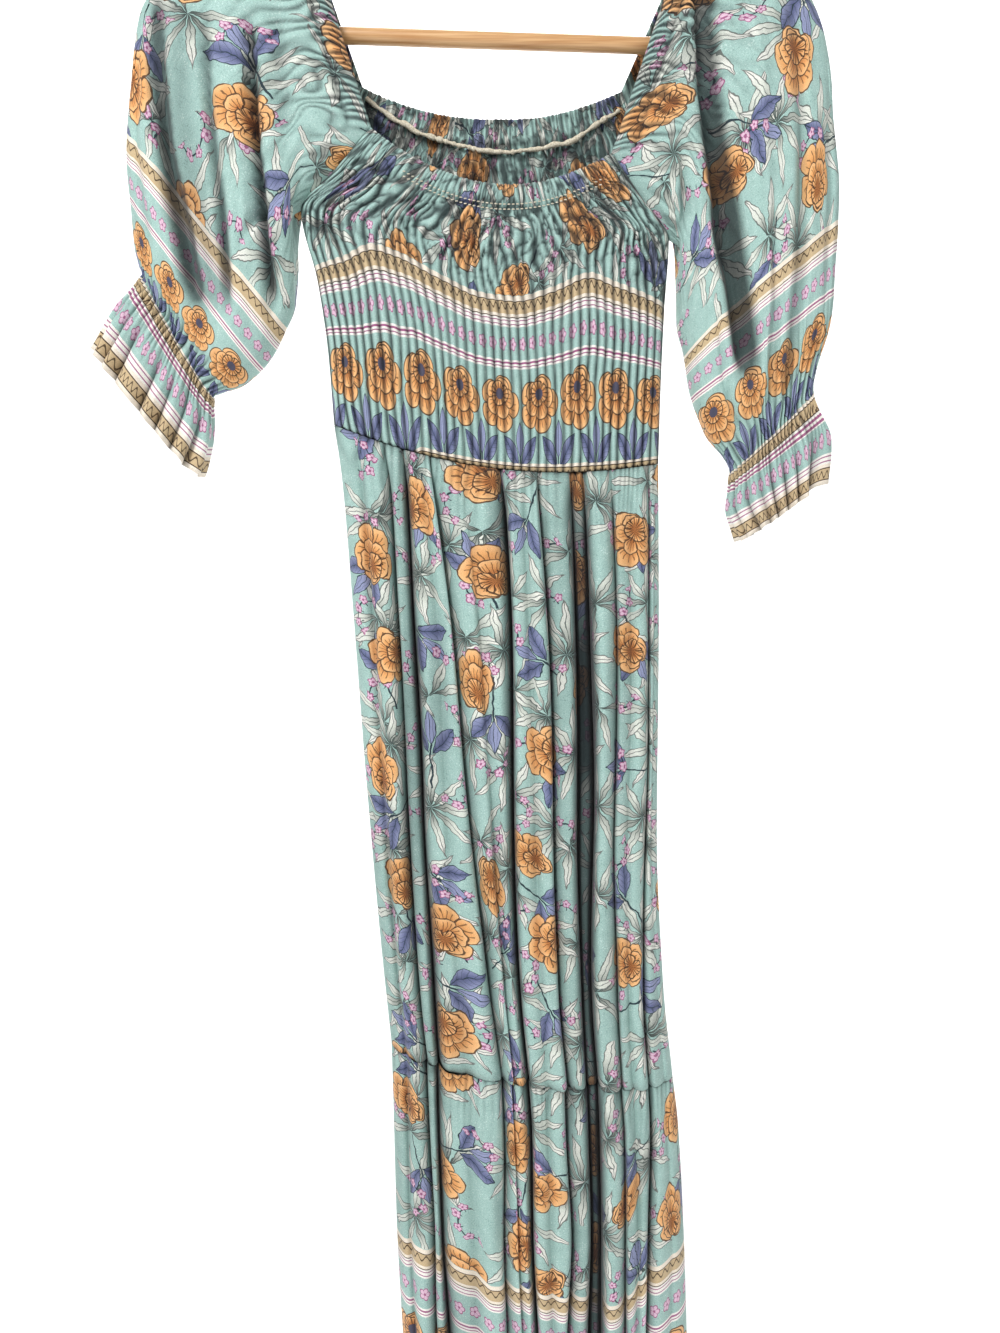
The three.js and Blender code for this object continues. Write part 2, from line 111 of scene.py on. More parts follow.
def unit(x: Array) -> Array:
    """Keeps a value from 0 to 1."""
    return np.clip(x, 0, 1)


def grooves(height: Array, start: float, slope: float = 1.0) -> Array:
    """How much painted shade the low parts of a relief get, from 0 to 1: the start less the slope times its
    height.
    """
    return unit(start - slope * height)


def fade(x: Array, length: float) -> Array:
    """Falls from 1 at nought to about a third at the length: e to the minus x over the length."""
    return np.exp(-x / length)


def bell(x: Array, half: float) -> Array:
    """Stands at 1 at nought and falls on both sides: e to the minus square of x over the half width."""
    return np.exp(-(x / half) ** 2)


def ease(x: Array, half: float) -> Array:
    """Rises from 0 to 1 about nought: one over 1 plus e to the minus x over the half width."""
    return 1 / (1 + np.exp(-x / half))


def rounding(share: Array, power: float) -> Array:
    """Roundness of a flat tube across its width: the root of 1 less the place, from -1 to 1, to a power."""
    return np.sqrt(np.maximum(0, 1 - np.abs(share) ** power))


def arc(points: Array) -> Array:
    """Length along the first axis from its first point: the running sum of the steps' lengths."""
    steps = np.linalg.norm(np.diff(points, axis=0), axis=-1)
    return np.concatenate([np.zeros_like(steps[:1]), np.cumsum(steps, axis=0)])


# ------------------------------------------------------------------ meshes


def normals(points: Array, around: bool) -> Array:
    """Unit normals of a grid of points: the cross product of its steps down and across."""
    if around:
        across = np.roll(points, -1, axis=1) - np.roll(points, 1, axis=1)
    else:
        across = np.gradient(points, axis=1)
    crossed = np.cross(np.gradient(points, axis=0), across)
    return crossed / np.maximum(np.linalg.norm(crossed, axis=2, keepdims=True), 1e-9)


def quads(rows: int, columns: int, around: bool) -> Array:
    """Corners of a grid's faces as (row, column), shape (faces, 4, 2). The last column may be past the end."""
    r, c = np.meshgrid(np.arange(rows - 1), np.arange(columns if around else columns - 1), indexing="ij")
    return np.stack([np.stack([r, c], -1), np.stack([r, c + 1], -1),
                     np.stack([r + 1, c + 1], -1), np.stack([r + 1, c], -1)], 2).reshape(-1, 4, 2)


def smooth_object(name: str, points: Array, faces: Array) -> bpy.types.Object:
    """A smooth-shaded object from points in mm and the numbers of each face's points."""
    mesh = bpy.data.meshes.new(name)
    mesh.from_pydata((points * MM).reshape(-1, 3), [], faces.tolist())
    mesh.polygons.foreach_set("use_smooth", np.ones(len(faces), bool))
    thing = bpy.data.objects.new(name, mesh)
    bpy.context.scene.collection.objects.link(thing)
    return thing


def grid_object(name: str, points: Array, facing: Array, around: bool, cloth: Array | None = None,
                shade: Array | None = None) -> bpy.types.Object:
    """An object from a grid of points.

    Args:
        name: Object name.
        points: Points in mm, shape (rows, columns, 3).
        facing: A point the faces look away from, as (x, y, z) for each point or for all.
        around: Whether the last column joins the first.
        cloth: Place of each point on the flat cloth in mm, shape (rows, columns + 1 if around, 2).
        shade: Painted shade of each point, from 0 to 1, shape (rows, columns): how far its print is darkened, most
            deep in the folds.

    Returns:
        The object, with a UV map "cloth" in metres and an attribute that holds each point's painted shade.
    """
    rows, columns = points.shape[:2]
    corners = quads(rows, columns, around)
    if np.sum(normals(points, around) * (points - facing)) > 0:
        corners = corners[:, ::-1]
    thing = smooth_object(name, points, corners[..., 0] * columns + corners[..., 1] % columns)
    cloth = np.zeros((rows, columns + 1, 2)) if cloth is None else cloth
    uv = cloth[corners[..., 0], corners[..., 1]] * MM
    thing.data.uv_layers.new(name="cloth").data.foreach_set("uv", uv.reshape(-1).astype(np.float32))
    # painted shade of each point, by which the print's material darkens it
    deep = np.zeros((rows, columns)) if shade is None else unit(shade)
    thing.data.attributes.new("painted_fold_shade", "FLOAT", "POINT").data.foreach_set(
        "value", deep.reshape(-1).astype(np.float32))
    thing.data.update()
    return thing


def tube_points(path: Array, radius: Array, sides: int) -> Array:
    """A round tube along a path in the plane of x and z: circles square to it, one for each radius."""
    way = np.gradient(path, axis=0)
    way /= np.linalg.norm(way, axis=1, keepdims=True)
    flat = np.stack([-way[:, 2], np.zeros(len(way)), way[:, 0]], 1)
    turn = np.linspace(0, TURN, sides, endpoint=False)
    ring = np.cos(turn)[None, :, None] * flat[:, None] + np.sin(turn)[None, :, None] * np.array([0, 1, 0])
    return path[:, None] + ring * radius[:, None, None]


def closing(radius: Array, tip: float = 0.05) -> Array:
    """Radii along a tube, drawn in to nearly nothing at both ends."""
    radius = radius.copy()
    radius[[0, -1]] = tip
    return radius


def dress_piece(thing: bpy.types.Object, material: bpy.types.Material, slot: str, *nodes: str) -> None:
    """Gives a piece its material and its body, and hides the CAD nodes that it stands for."""
    thing.data.materials.append(material)
    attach(thing, "root")
    if nodes:
        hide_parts(*nodes)


# ------------------------------------------------------------------ shader tools


def srgb(code: str) -> tuple[float, float, float, float]:
    """Linear colour of an sRGB hex code."""
    parts = [int(code[i:i + 2], 16) / 255 for i in (1, 3, 5)]
    return (*(p / 12.92 if p <= 0.04045 else ((p + 0.055) / 1.055) ** 2.4 for p in parts), 1.0)


def add_node(tree: bpy.types.NodeTree, kind: str, inputs: dict | None = None, **settings) -> bpy.types.Node:
    """Adds a node, sets its properties, and links or sets its inputs."""
    node = tree.nodes.new(kind)
    for name, value in settings.items():
        setattr(node, name, value)
    for key, value in (inputs or {}).items():
        value = value.socket if isinstance(value, Signal) else value
        if isinstance(value, bpy.types.NodeSocket):
            tree.links.new(value, node.inputs[key])
        else:
            node.inputs[key].default_value = value
    return node


def new_material(name: str) -> tuple[bpy.types.Material, bpy.types.NodeTree]:
    """A material with an empty node tree."""
    material = bpy.data.materials.new(name)
    material.use_nodes = True
    material.node_tree.nodes.clear()
    return material, material.node_tree


class Signal:
    """A number that varies over a surface: a node's output that arithmetic can be done on."""

    def __init__(self, socket: bpy.types.NodeSocket) -> None:
        """Keeps the output."""
        self.socket = socket

    def do(self, operation: str, *others) -> "Signal":
        """The result of one Math operation on this signal and then the others."""
        operands = dict(enumerate((self, *others)))
        return Signal(add_node(self.socket.id_data, "ShaderNodeMath", operands, operation=operation).outputs[0])

    def __add__(self, other) -> "Signal":
        """Sum."""
        return self.do("ADD", other)

    __radd__ = __add__

    def __sub__(self, other) -> "Signal":
        """Difference."""
        return self.do("SUBTRACT", other)

    def __rsub__(self, other) -> "Signal":
        """Difference, from a number."""
        return self.times_plus(-1.0, other)

    def __mul__(self, other) -> "Signal":
        """Product."""
        return self.do("MULTIPLY", other)

    __rmul__ = __mul__

    def __truediv__(self, other) -> "Signal":
        """Quotient."""
        return self.do("DIVIDE", other)

    def __abs__(self) -> "Signal":
        """Size without sign."""
        return self.do("ABSOLUTE")

    def __lt__(self, other) -> "Signal":
        """1 where less, else 0."""
        return self.do("LESS_THAN", other)

    def __gt__(self, other) -> "Signal":
        """1 where more, else 0."""
        return self.do("GREATER_THAN", other)

    def times_plus(self, factor, more) -> "Signal":
        """Product plus a sum."""
        return self.do("MULTIPLY_ADD", factor, more)

    def either(self, other) -> "Signal":
        """The larger of two: of two masks, where one or the other is on."""
        return self.do("MAXIMUM", other)

    def toward(self, other: "Signal", share: "Signal") -> "Signal":
        """This signal where share is 0 and the other where it is 1."""
        return (other - self).times_plus(share, self)


def polar(x: Signal, y: Signal) -> tuple[Signal, Signal]:
    """Distance from a motif's middle, and the angle round it in radians."""
    return (x * x + y * y).do("SQRT"), y.do("ARCTAN2", x)


@dataclass
class Place:
    """A place in a motif's own square: x and y in mm, and three random numbers of the square."""

    x: Signal
    y: Signal
    luck: tuple[Signal, ...]


@dataclass
class Layer:
    """One colour of the print: where it lies, from 0 to 1, and its colour."""

    mask: Signal
    colour: bpy.types.NodeSocket | tuple[float, ...]


# ------------------------------------------------------------------ finishes


@dataclass(frozen=True)
class PrintedCrepe:
    """Printed viscose crepe: a soft matt cloth with a faintly mottled ground under line-drawn flowers.

    The crinkled, dull yarn gives it a high roughness, hardly any mirror light and a thin soft sheen.
    """

    ground: str = "#A0C0B9"
    ground_pale: str = "#D0E5DF"
    ground_deep: str = "#7C9B95"
    leaf: str = "#D9DED4"
    leaf_line: str = "#3F4B48"
    indigo: str = "#565D83"
    indigo_pale: str = "#9198BA"
    stem: str = "#2B3B42"
    petal: str = "#F0C08A"
    petal_mid: str = "#E2A467"
    petal_deep: str = "#B87540"
    petal_line: str = "#3B2319"
    heart: str = "#4B4A5C"
    blossom: str = "#DDBBCF"
    magenta: str = "#A05F85"
    cream: str = "#EDE2D2"
    tan: str = "#C7B08B"
    white: str = "#F0ECE6"
    brown: str = "#4A3726"
    # the dark towards which the print is painted deep in a fold: a painted shadow colour
    shadow: str = "#0D151B"
    roughness: float = 0.82
    sheen: float = 0.12
    specular: float = 0.3

    def bands(self) -> list[tuple[float, str, bool]]:
        """The border's stripes from the hem edge up.

        Returns:
            Where each starts in mm, its colour ("" is plain ground) and whether a zigzag may run in it.
        """
        stripes = [(at, colour, False) for at, colour in (
            (0, self.white), (1.4, self.magenta), (2.6, self.white), (4.5, self.magenta), (5.6, self.white))]
        tans = [(0, self.brown, False), (1, self.tan, True), (8.2, self.brown, False), (9.2, self.cream, False)]
        wide_tan = [(0, self.brown, False), (1.2, self.cream, False), (3, self.tan, True),
                    (12.5, self.brown, False), (13.7, self.cream, False)]
        plain = [(0, "", False)]
        groups = ((0, [(0, self.cream, False)]), (2.5, tans), (13.5, stripes), (20.5, plain), (40, stripes),
                  (46.9, tans), (58, plain), (133, stripes), (140, plain), (166, stripes), (173, wide_tan),
                  (190.5, plain))
        return [(start + at, colour, zigzag) for start, group in groups for at, colour, zigzag in group]

    def make(self) -> bpy.types.Material:
        """Builds the material from the piece's cloth map."""
        return PrintTree(self).build()


class PrintTree:
    """The node tree of the print. Every pattern is worked out in mm on the flat cloth.

    Heights of the border, from the hem edge up: leaves from LEAVES, large flowers from ROSES, their
    middles at ROSE_ROW, and small flowers below LOW_BUDS and above HIGH_BUDS, with their middles at
    LOW_ROW and HIGH_ROW.
    """

    BORDER_LOW = -50.0
    LEAVES, LEAVES_END, LEAF_ROW = 58.0, 100.0, 54.0
    ROSES, ROSES_END, ROSE_ROW, ROSE_PITCH = 59.0, 133.0, 105.0, 58.0
    LOW_BUDS, HIGH_BUDS, LOW_ROW, HIGH_ROW, BUD_PITCH = 41.0, 139.0, 30.5, 153.0, 14.5
    RAMP_SPAN, RAMP_SPLIT = 200.0, 14  # mm on the two ramps of the stripes, and stops on the first one
    TWIG_START = -0.4  # angle at which a curled stem begins
    TWIG_REACH = 15.0  # from a curled stem's middle to its blossoms

    def __init__(self, finish: PrintedCrepe) -> None:
        """Starts a material with the cloth map's two coordinates in mm."""
        self.finish = finish
        self.material, self.tree = new_material("printed_viscose_crepe")
        chart = add_node(self.tree, "ShaderNodeUVMap", uv_map="cloth")
        self.flat = add_node(self.tree, "ShaderNodeVectorMath", {0: chart.outputs[0], "Scale": 1 / MM},
                             operation="SCALE").outputs[0]
        self.u, self.v, _ = self.split("ShaderNodeSeparateXYZ", self.flat)
        # a hand-drawn wobble of about 2 mm in every outline, in waves 14 mm long
        drift = add_node(self.tree, "ShaderNodeTexNoise", {"Vector": self.flat, "Scale": 0.07, "Detail": 2.0},
                         noise_dimensions="2D")
        shift = self.split("ShaderNodeSeparateColor", drift.outputs["Color"])
        self.wobble = tuple((part - 0.5) * 7.0 for part in shift[:2])

    def split(self, kind: str, socket: bpy.types.NodeSocket) -> tuple[Signal, ...]:
        """The three parts of a vector or a colour."""
        node = add_node(self.tree, kind, {0: socket})
        return tuple(Signal(node.outputs[i]) for i in range(3))

    def mottle(self, scale: float, detail: float) -> Signal:
        """Noise from 0 to 1. scale: features a mm."""
        node = add_node(self.tree, "ShaderNodeTexNoise",
                        {"Vector": self.flat, "Scale": scale, "Detail": detail, "Roughness": 0.6},
                        noise_dimensions="2D")
        return Signal(node.outputs["Fac"])

    def ramp(self, signal: Signal, stops: list[tuple[float, tuple]], interpolation: str) -> bpy.types.Node:
        """A colour ramp over a signal from 0 to 1."""
        node = add_node(self.tree, "ShaderNodeValToRGB", {0: signal})
        node.color_ramp.interpolation = interpolation
        spots = node.color_ramp.elements
        for i, (at, colour) in enumerate(stops):
            spot = spots[i] if i < 2 else spots.new(at)
            spot.position, spot.color = at, colour
        return node

    def tone(self, signal: Signal, *codes: str) -> bpy.types.NodeSocket:
        """Colours spread evenly over a signal from 0 to 1."""
        stops = [(i / (len(codes) - 1), srgb(code)) for i, code in enumerate(codes)]
        return self.ramp(signal, stops, "LINEAR").outputs["Color"]

    def lay(self, below: bpy.types.NodeSocket, *layers: Layer) -> bpy.types.NodeSocket:
        """The print with more colours laid over it, in order."""
        for layer in layers:
            below = add_node(self.tree, "ShaderNodeMix",
                             {"Factor": layer.mask, 6: below, 7: layer.colour}, data_type="RGBA").outputs[2]
        return below

    def squares(self, wide: float, high: float, jitter: float, seed: float) -> Place:
        """Half-drop repeat of squares, each with its motif moved and turned by chance."""
        across = self.u / wide
        column = across.do("FLOOR")
        up = self.v / high + (column * 0.5).do("FRACT")
        row = up.do("FLOOR")
        seat = add_node(self.tree, "ShaderNodeCombineXYZ", {0: column, 1: row, 2: seed})
        chance = add_node(self.tree, "ShaderNodeTexWhiteNoise", {"Vector": seat.outputs[0]},
                          noise_dimensions="3D")
        luck = self.split("ShaderNodeSeparateColor", chance.outputs["Color"])
        x = (across - column - 0.5).times_plus(wide, (luck[0] - 0.5) * jitter) + self.wobble[0]
        y = (up - row - 0.5).times_plus(high, (luck[1] - 0.5) * jitter) + self.wobble[1]
        flat = add_node(self.tree, "ShaderNodeCombineXYZ", {0: x, 1: y})
        turned = add_node(self.tree, "ShaderNodeVectorRotate",
                          {"Vector": flat.outputs[0], "Angle": luck[2] * TURN}, rotation_type="Z_AXIS")
        x, y, _ = self.split("ShaderNodeSeparateXYZ", turned.outputs[0])
        return Place(x, y, luck)

    def row(self, pitch: float, height: float, shift: float) -> tuple[Signal, Signal]:
        """Coordinates of a motif repeated along the border at one height."""
        return ((self.u / pitch + shift).do("FRACT") - 0.5) * pitch, self.v - height

    def leaf(self, along: Signal, aside: Signal, length: Signal | float, half: float) -> tuple[Signal, Signal]:
        """Inside and line of a pointed leaf: half width times the sine of the share of its length."""
        share = along / length
        edge = (share * math.pi).do("SINE") * half - abs(aside)
        inside = (edge > 0.0) * (share > 0.0) * (share < 1.0)
        outline, midrib = edge < 0.75, abs(aside) < 0.3
        return inside, outline.either(midrib) * inside

    def fans(self, place: Place, leaves: float, reach: float, half: float) -> list[Layer]:
        """Long pale leaves that fan out from one point, some of them missing.

        The lot of a leaf, from 0 to 1, is the fraction of a large multiple of a sine of its number. It
        sets the leaf's length, and a leaf with a low lot isn't drawn.
        """
        f = self.finish
        r, bearing = polar(place.x, place.y)
        turn = bearing * (leaves / TURN) + place.luck[0]
        blade = turn.do("FLOOR")
        angle = (turn - blade - 0.5) * (TURN / leaves)
        along, aside = r * angle.do("COSINE"), r * angle.do("SINE")
        lot = (abs((blade * 12.9898 + place.luck[1] * 78.233).do("SINE")) * 43.7).do("FRACT")
        length = lot.times_plus(reach * 0.45, reach * 0.55)
        inside, line = self.leaf(along, aside, length, half)
        shown = lot > 0.2
        hatch = ((aside * 2.1 + along * 0.22).do("FRACT") < 0.16) * 0.35
        paint = self.tone(along / length, f.leaf_line, f.leaf, f.white)
        return [Layer(inside * shown, paint),
                Layer(line.either(hatch * inside) * shown * 0.85, srgb(f.leaf_line))]

    def sprig(self, x: Signal, y: Signal, shown: Signal) -> list[Layer]:
        """A pair of dark blue leaves, 43 degrees off their stem, and a leaf between them on it."""
        f = self.finish
        side = abs(x)
        c, s = math.cos(0.75), math.sin(0.75)
        along, aside = side * s + y * c, side * c - y * s
        pair, pair_line = self.leaf(along - 2.0, aside, 34.0, 7.5)
        tip, tip_line = self.leaf(y - 8.0, x, 30.0, 6.0)
        inside, line = pair.either(tip) * shown, pair_line.either(tip_line) * shown
        stem = (side < 0.8) * (y < 10.0) * (y > -30.0) * shown
        veins = (((along - abs(aside)) * 0.2).do("FRACT") < 0.14) * 0.5
        paint = self.tone(abs(aside) * 0.14, f.indigo, f.indigo_pale)
        return [Layer(stem, srgb(f.stem)), Layer(inside, paint),
                Layer(line.either(veins * inside), srgb(f.stem))]

    def blossoms(self, place: Place, shown: Signal) -> tuple[list[Layer], Signal, Signal, Signal]:
        """A curled stem with small blossoms along it.

        Returns:
            The stem's layers, where blossoms may stand, and a blossom's own x and y.
        """
        r, angle = polar(place.x, place.y)
        turn = angle * (8 / TURN)
        local = (turn - turn.do("ROUND")) * (TURN / 8)
        x, y = r * local.do("COSINE") - self.TWIG_REACH, r * local.do("SINE")
        here = (angle > self.TWIG_START) * shown
        stem = (abs(r - 12.0 - angle * 1.1) < 0.6) * here
        twig = (abs(y) < 0.4) * (r < self.TWIG_REACH) * (r > 9.0) * here
        return [Layer(stem.either(twig), srgb(self.finish.stem))], here, x, y

    def small_flower(self, x: Signal, y: Signal, radius: Signal, shown: Signal) -> list[Layer]:
        """A five-petalled blossom with a magenta outline and eye."""
        r, angle = polar(x, y)
        lobe = abs((angle * 2.5).do("COSINE"))
        gap = lobe.times_plus(0.3, 0.7) * radius - r
        inside = (gap > 0.0) * shown
        outline, parting, eye = gap < 0.9, lobe < 0.16, r < 1.1
        return [Layer(inside, srgb(self.finish.blossom)),
                Layer(outline.either(parting).either(eye) * inside, srgb(self.finish.magenta))]

    def bloom(self, x: Signal, y: Signal, luck: Signal, shown: Signal, hearts: Signal) -> list[Layer]:
        """A full flower: three rings of petals, each outlined, about a hatched heart.

        Each ring's edge is its radius times 0.74 plus 0.28 of the root of a cosine's size, with one crest
        a petal. The rings sit towards one side, as in a flower seen at a slant.

        Args:
            x, y: Place in the flower, in mm.
            luck: A number from 0 to 1 that changes its proportions and turns its petals.
            shown: Where flowers are drawn.
            hearts: Where they have a dark heart.

        Returns:
            The layers from the lowest up.
        """
        f = self.finish
        x, y = x * (luck * 0.55 + 0.92), y * (1.12 - luck * 0.22)
        layers: list[Layer] = []
        for radius, petals, shift in ((26.0, 5, 0.0), (19.0, 5, 5.0), (12.0, 3, 9.5)):
            r, angle = polar(x, y - shift)
            lobe = abs(angle.times_plus(petals / 2, luck * 9.0).do("COSINE"))
            gap = lobe.do("POWER", 0.5).times_plus(0.28 * radius, 0.74 * radius) - r
            inside = (gap > 0.0) * shown
            outline, parting = gap < 1.25, (lobe < 0.13) * (r > radius * 0.3)
            rays = ((angle * 3.7).do("FRACT") < 0.2) * (gap > radius * 0.2) * 0.8
            line = outline.either(parting).either(rays)
            paint = self.tone(gap / (radius * 0.62), f.petal, f.petal_mid, f.petal_deep)
            layers += [Layer(inside, paint), Layer(line * inside * 0.9, srgb(f.petal_line))]
        r, angle = polar(x, y - 9.0)
        stamens = ((angle * 2.4 + luck * 5.0).do("FRACT") < 0.3) * (r < 11.5) * shown
        heart = (r < 5.0) * shown * hearts
        return layers + [Layer(stamens * 0.85, srgb(f.petal_line)), Layer(heart, srgb(f.heart))]

    def zigzag(self) -> Signal:
        """A wavy line of waves 8.4 mm long along the middle of the tan bands, which lie 43.9 mm apart."""
        apart, middle, wave = 43.9, 7.1, 8.4
        across = (((self.v - middle + 22.0) / apart).do("FRACT") - 0.5) * apart
        rise = (self.u * (TURN / wave)).do("SINE") * 2.1
        return abs(across - rise) < 0.8

    def stripes(self, colour: bpy.types.NodeSocket, in_border: Signal) -> bpy.types.NodeSocket:
        """Lays the border's stripes and zigzags over the ground.

        A stripe's colour is the ramp's. The ramp's alpha says 1 for a stripe, 0.5 for one with a zigzag
        and 0 for plain ground. There are two ramps, because one holds 32 stops.
        """
        f = self.finish
        stops = [(start / self.RAMP_SPAN, (*srgb(code or f.ground)[:3], 0.5 if zigzag else float(bool(code))))
                 for start, code, zigzag in f.bands()]
        first, second = stops[:self.RAMP_SPLIT], stops[self.RAMP_SPLIT:]
        split = second[0][0] * self.RAMP_SPAN
        waves = []
        for part, here in ((first, self.v < split), ([(0.0, (0, 0, 0, 0)), *second], self.v > split)):
            node = self.ramp(self.v / self.RAMP_SPAN, part, "CONSTANT")
            alpha = Signal(node.outputs["Alpha"])
            striped = (alpha > 0.25) * here * in_border
            colour = self.lay(colour, Layer(striped, node.outputs["Color"]))
            waves.append(striped * (alpha < 0.75))
        return self.lay(colour, Layer(waves[0].either(waves[1]) * self.zigzag() * 0.9, srgb(f.brown)))

    def build(self) -> bpy.types.Material:
        """Lays the colours over one another and gives them to the cloth."""
        f = self.finish
        in_border = (self.v < BORDER) * (self.v > self.BORDER_LOW)
        in_field = 1.0 - in_border
        cloudy, speckle = self.mottle(0.09, 3.0), self.mottle(0.8, 2.0)
        ground = speckle * 1.5 + cloudy * 0.8 - 0.65
        colour = self.tone(ground, f.ground_deep, f.ground, f.ground, f.ground_pale)
        colour = self.stripes(colour, in_border)

        for place in (self.squares(79.0, 86.0, 8.0, 3.0), self.squares(91.0, 97.0, 10.0, 23.0)):
            for layer in self.fans(place, leaves=9.0, reach=52.0, half=4.0):
                colour = self.lay(colour, Layer(layer.mask * in_field, layer.colour))

        sprigs = self.squares(88.0, 104.0, 24.0, 7.0)
        x, y = self.row(self.ROSE_PITCH, self.LEAF_ROW, 0.5)
        shown = ((sprigs.luck[0] < 0.85) * in_field).either((self.v > self.LEAVES) * (self.v < self.LEAVES_END))
        colour = self.lay(colour, *self.sprig(sprigs.x.toward(x, in_border), sprigs.y.toward(y, in_border), shown))

        stems, here, bud_x, bud_y = self.blossoms(self.squares(62.0, 70.0, 20.0, 11.0), in_field)
        colour = self.lay(colour, *stems)
        x, y = self.row(self.BUD_PITCH, self.LOW_ROW, 0.0)
        y = y.toward(self.v - self.HIGH_ROW, self.v > 90.0)
        bands = in_border * (self.v < self.LOW_BUDS).either(self.v > self.HIGH_BUDS)
        colour = self.lay(colour, *self.small_flower(
            bud_x.toward(x, in_border), bud_y.toward(y, in_border), in_border * 1.2 + 4.4, here.either(bands)))

        blooms = self.squares(86.0, 92.0, 28.0, 17.0)
        x, y = self.row(self.ROSE_PITCH, self.ROSE_ROW, 0.0)
        shown = ((blooms.luck[1] < 0.66) * in_field).either((self.v > self.ROSES) * (self.v < self.ROSES_END))
        colour = self.lay(colour, *self.bloom(
            blooms.x.toward(x, in_border), blooms.y.toward(y, in_border), blooms.luck[0] * in_field, shown,
            hearts=in_border))

        # heather of the crepe: threads 0.5 mm apart, drawn at 1.2 mm so that it shows
        thread = self.mottle(1.7, 1.0)
        colour = add_node(self.tree, "ShaderNodeHueSaturation",
                          {"Color": colour, "Value": thread.times_plus(0.8, 0.6)}).outputs[0]
        # painted shade: deep in a fold hardly any light comes back, so the print is painted towards the dark of
        # its shadow by the shade attribute
        deep = add_node(self.tree, "ShaderNodeAttribute", attribute_name="painted_fold_shade")
        colour = self.lay(colour, Layer(Signal(deep.outputs["Fac"]) * 0.96, srgb(f.shadow)))
        # crinkles about 6 mm across and 1.2 mm high
        crinkle = self.mottle(0.16, 3.0)
        height = add_node(self.tree, "ShaderNodeBump",
                          {"Height": crinkle + thread * 0.15, "Strength": 0.35, "Distance": 1.2 * MM})
        skin = add_node(self.tree, "ShaderNodeBsdfPrincipled",
                        {"Base Color": colour, "Roughness": f.roughness, "Sheen Weight": f.sheen,
                         "Sheen Roughness": 0.5, "Specular IOR Level": f.specular, "Normal": height.outputs[0]})
        add_node(self.tree, "ShaderNodeOutputMaterial", {0: skin.outputs[0]})
        return self.material


@dataclass(frozen=True)
class GrainedFinish:
    """A hard or plain finish: two close tones mixed by fine noise, which also roughens the surface.

    grain: size of the noise's features in mm along x, y and z. tones: noise values at which the dark and
    the pale tone stand. bump: the bump's strength, and its height in mm.
    """

    name: str
    pale: str
    dark: str
    roughness: float
    grain: tuple[float, float, float]
    metallic: float = 0.0
    coat: float = 0.0
    coat_roughness: float = 0.03
    detail: float = 3.0
    tones: tuple[float, float] = (0.35, 0.65)
    bump: tuple[float, float] = (0.3, 0.3)

    def make(self) -> bpy.types.Material:
        """Builds the material on Object coordinates."""
        material, tree = new_material(self.name)
        place = add_node(tree, "ShaderNodeTexCoord")
        scale = tuple(1 / (size * MM) for size in self.grain)
        drawn = add_node(tree, "ShaderNodeMapping", {"Vector": place.outputs["Object"], "Scale": scale})
        fleck = add_node(tree, "ShaderNodeTexNoise",
                         {"Vector": drawn.outputs[0], "Scale": 1.0, "Detail": self.detail})
        ramp = add_node(tree, "ShaderNodeValToRGB", {0: fleck.outputs["Fac"]})
        for spot, at, code in zip(ramp.color_ramp.elements, self.tones, (self.dark, self.pale)):
            spot.position, spot.color = at, srgb(code)
        strength, height = self.bump
        bump = add_node(tree, "ShaderNodeBump",
                        {"Height": fleck.outputs["Fac"], "Strength": strength, "Distance": height * MM})
        skin = add_node(tree, "ShaderNodeBsdfPrincipled",
                        {"Base Color": ramp.outputs[0], "Roughness": self.roughness, "Metallic": self.metallic,
                         "Coat Weight": self.coat, "Coat Roughness": self.coat_roughness,
                         "Normal": bump.outputs[0]})
        add_node(tree, "ShaderNodeOutputMaterial", {0: skin.outputs[0]})
        return material


# Beech under clear lacquer: warm pale brown in a satin gloss, with darker streaks along the piece, 60 mm
# long and under 2 mm wide.
BEECH = GrainedFinish("lacquered_beech", "#D9AE7C", "#B98552", 0.38, (62.5, 5 / 3, 5 / 3), coat=0.35,
                      coat_roughness=0.25, detail=5.0, tones=(0.3, 0.65), bump=(0.15, 0.4))
# Drawn steel wire: bright grey, with the faint unevenness that drawing leaves.
STEEL = GrainedFinish("drawn_steel_wire", "#C4C7CA", "#A9ADB1", 0.28, (3, 3, 3), metallic=1.0)
# Overlock thread: cream and fuzzy, with its loops about 1 mm apart.
THREAD = GrainedFinish("cream_overlock_thread", "#E9E2CF", "#B9AF97", 0.9, (1.1, 1.1, 1.1))
# Matt paper of the studio's sweep: plain white.
PAPER = GrainedFinish("matt_white_paper", "#FFFFFF", "#FCFCFC", 0.95, (40, 40, 40))


# ------------------------------------------------------------------ the dress


@dataclass(frozen=True)
class Section:
    """One level of a panel.

    xl, zl, xr, zr: its seams on the left and the right. sag: how far its middle hangs below the line
    between them. depth, edge: its depth at the middle and at the seams. fold: share of the folds' depth.
    """

    xl: float
    zl: float
    xr: float
    zr: float
    sag: float
    depth: float
    edge: float = 0.4
    fold: float = 1.0


@dataclass(frozen=True)
class Crevice:
    """A deep line between two folds of the skirt.

    waist, hip, seam, hem: its place across the panel at those heights, from -1 to 1. deep: its depth.
    lean: how far its floor runs sideways. sink: how far the fold on its right lies back.
    """

    waist: float
    hip: float
    seam: float
    hem: float
    deep: float
    lean: float = 0.0
    sink: float = 0.0


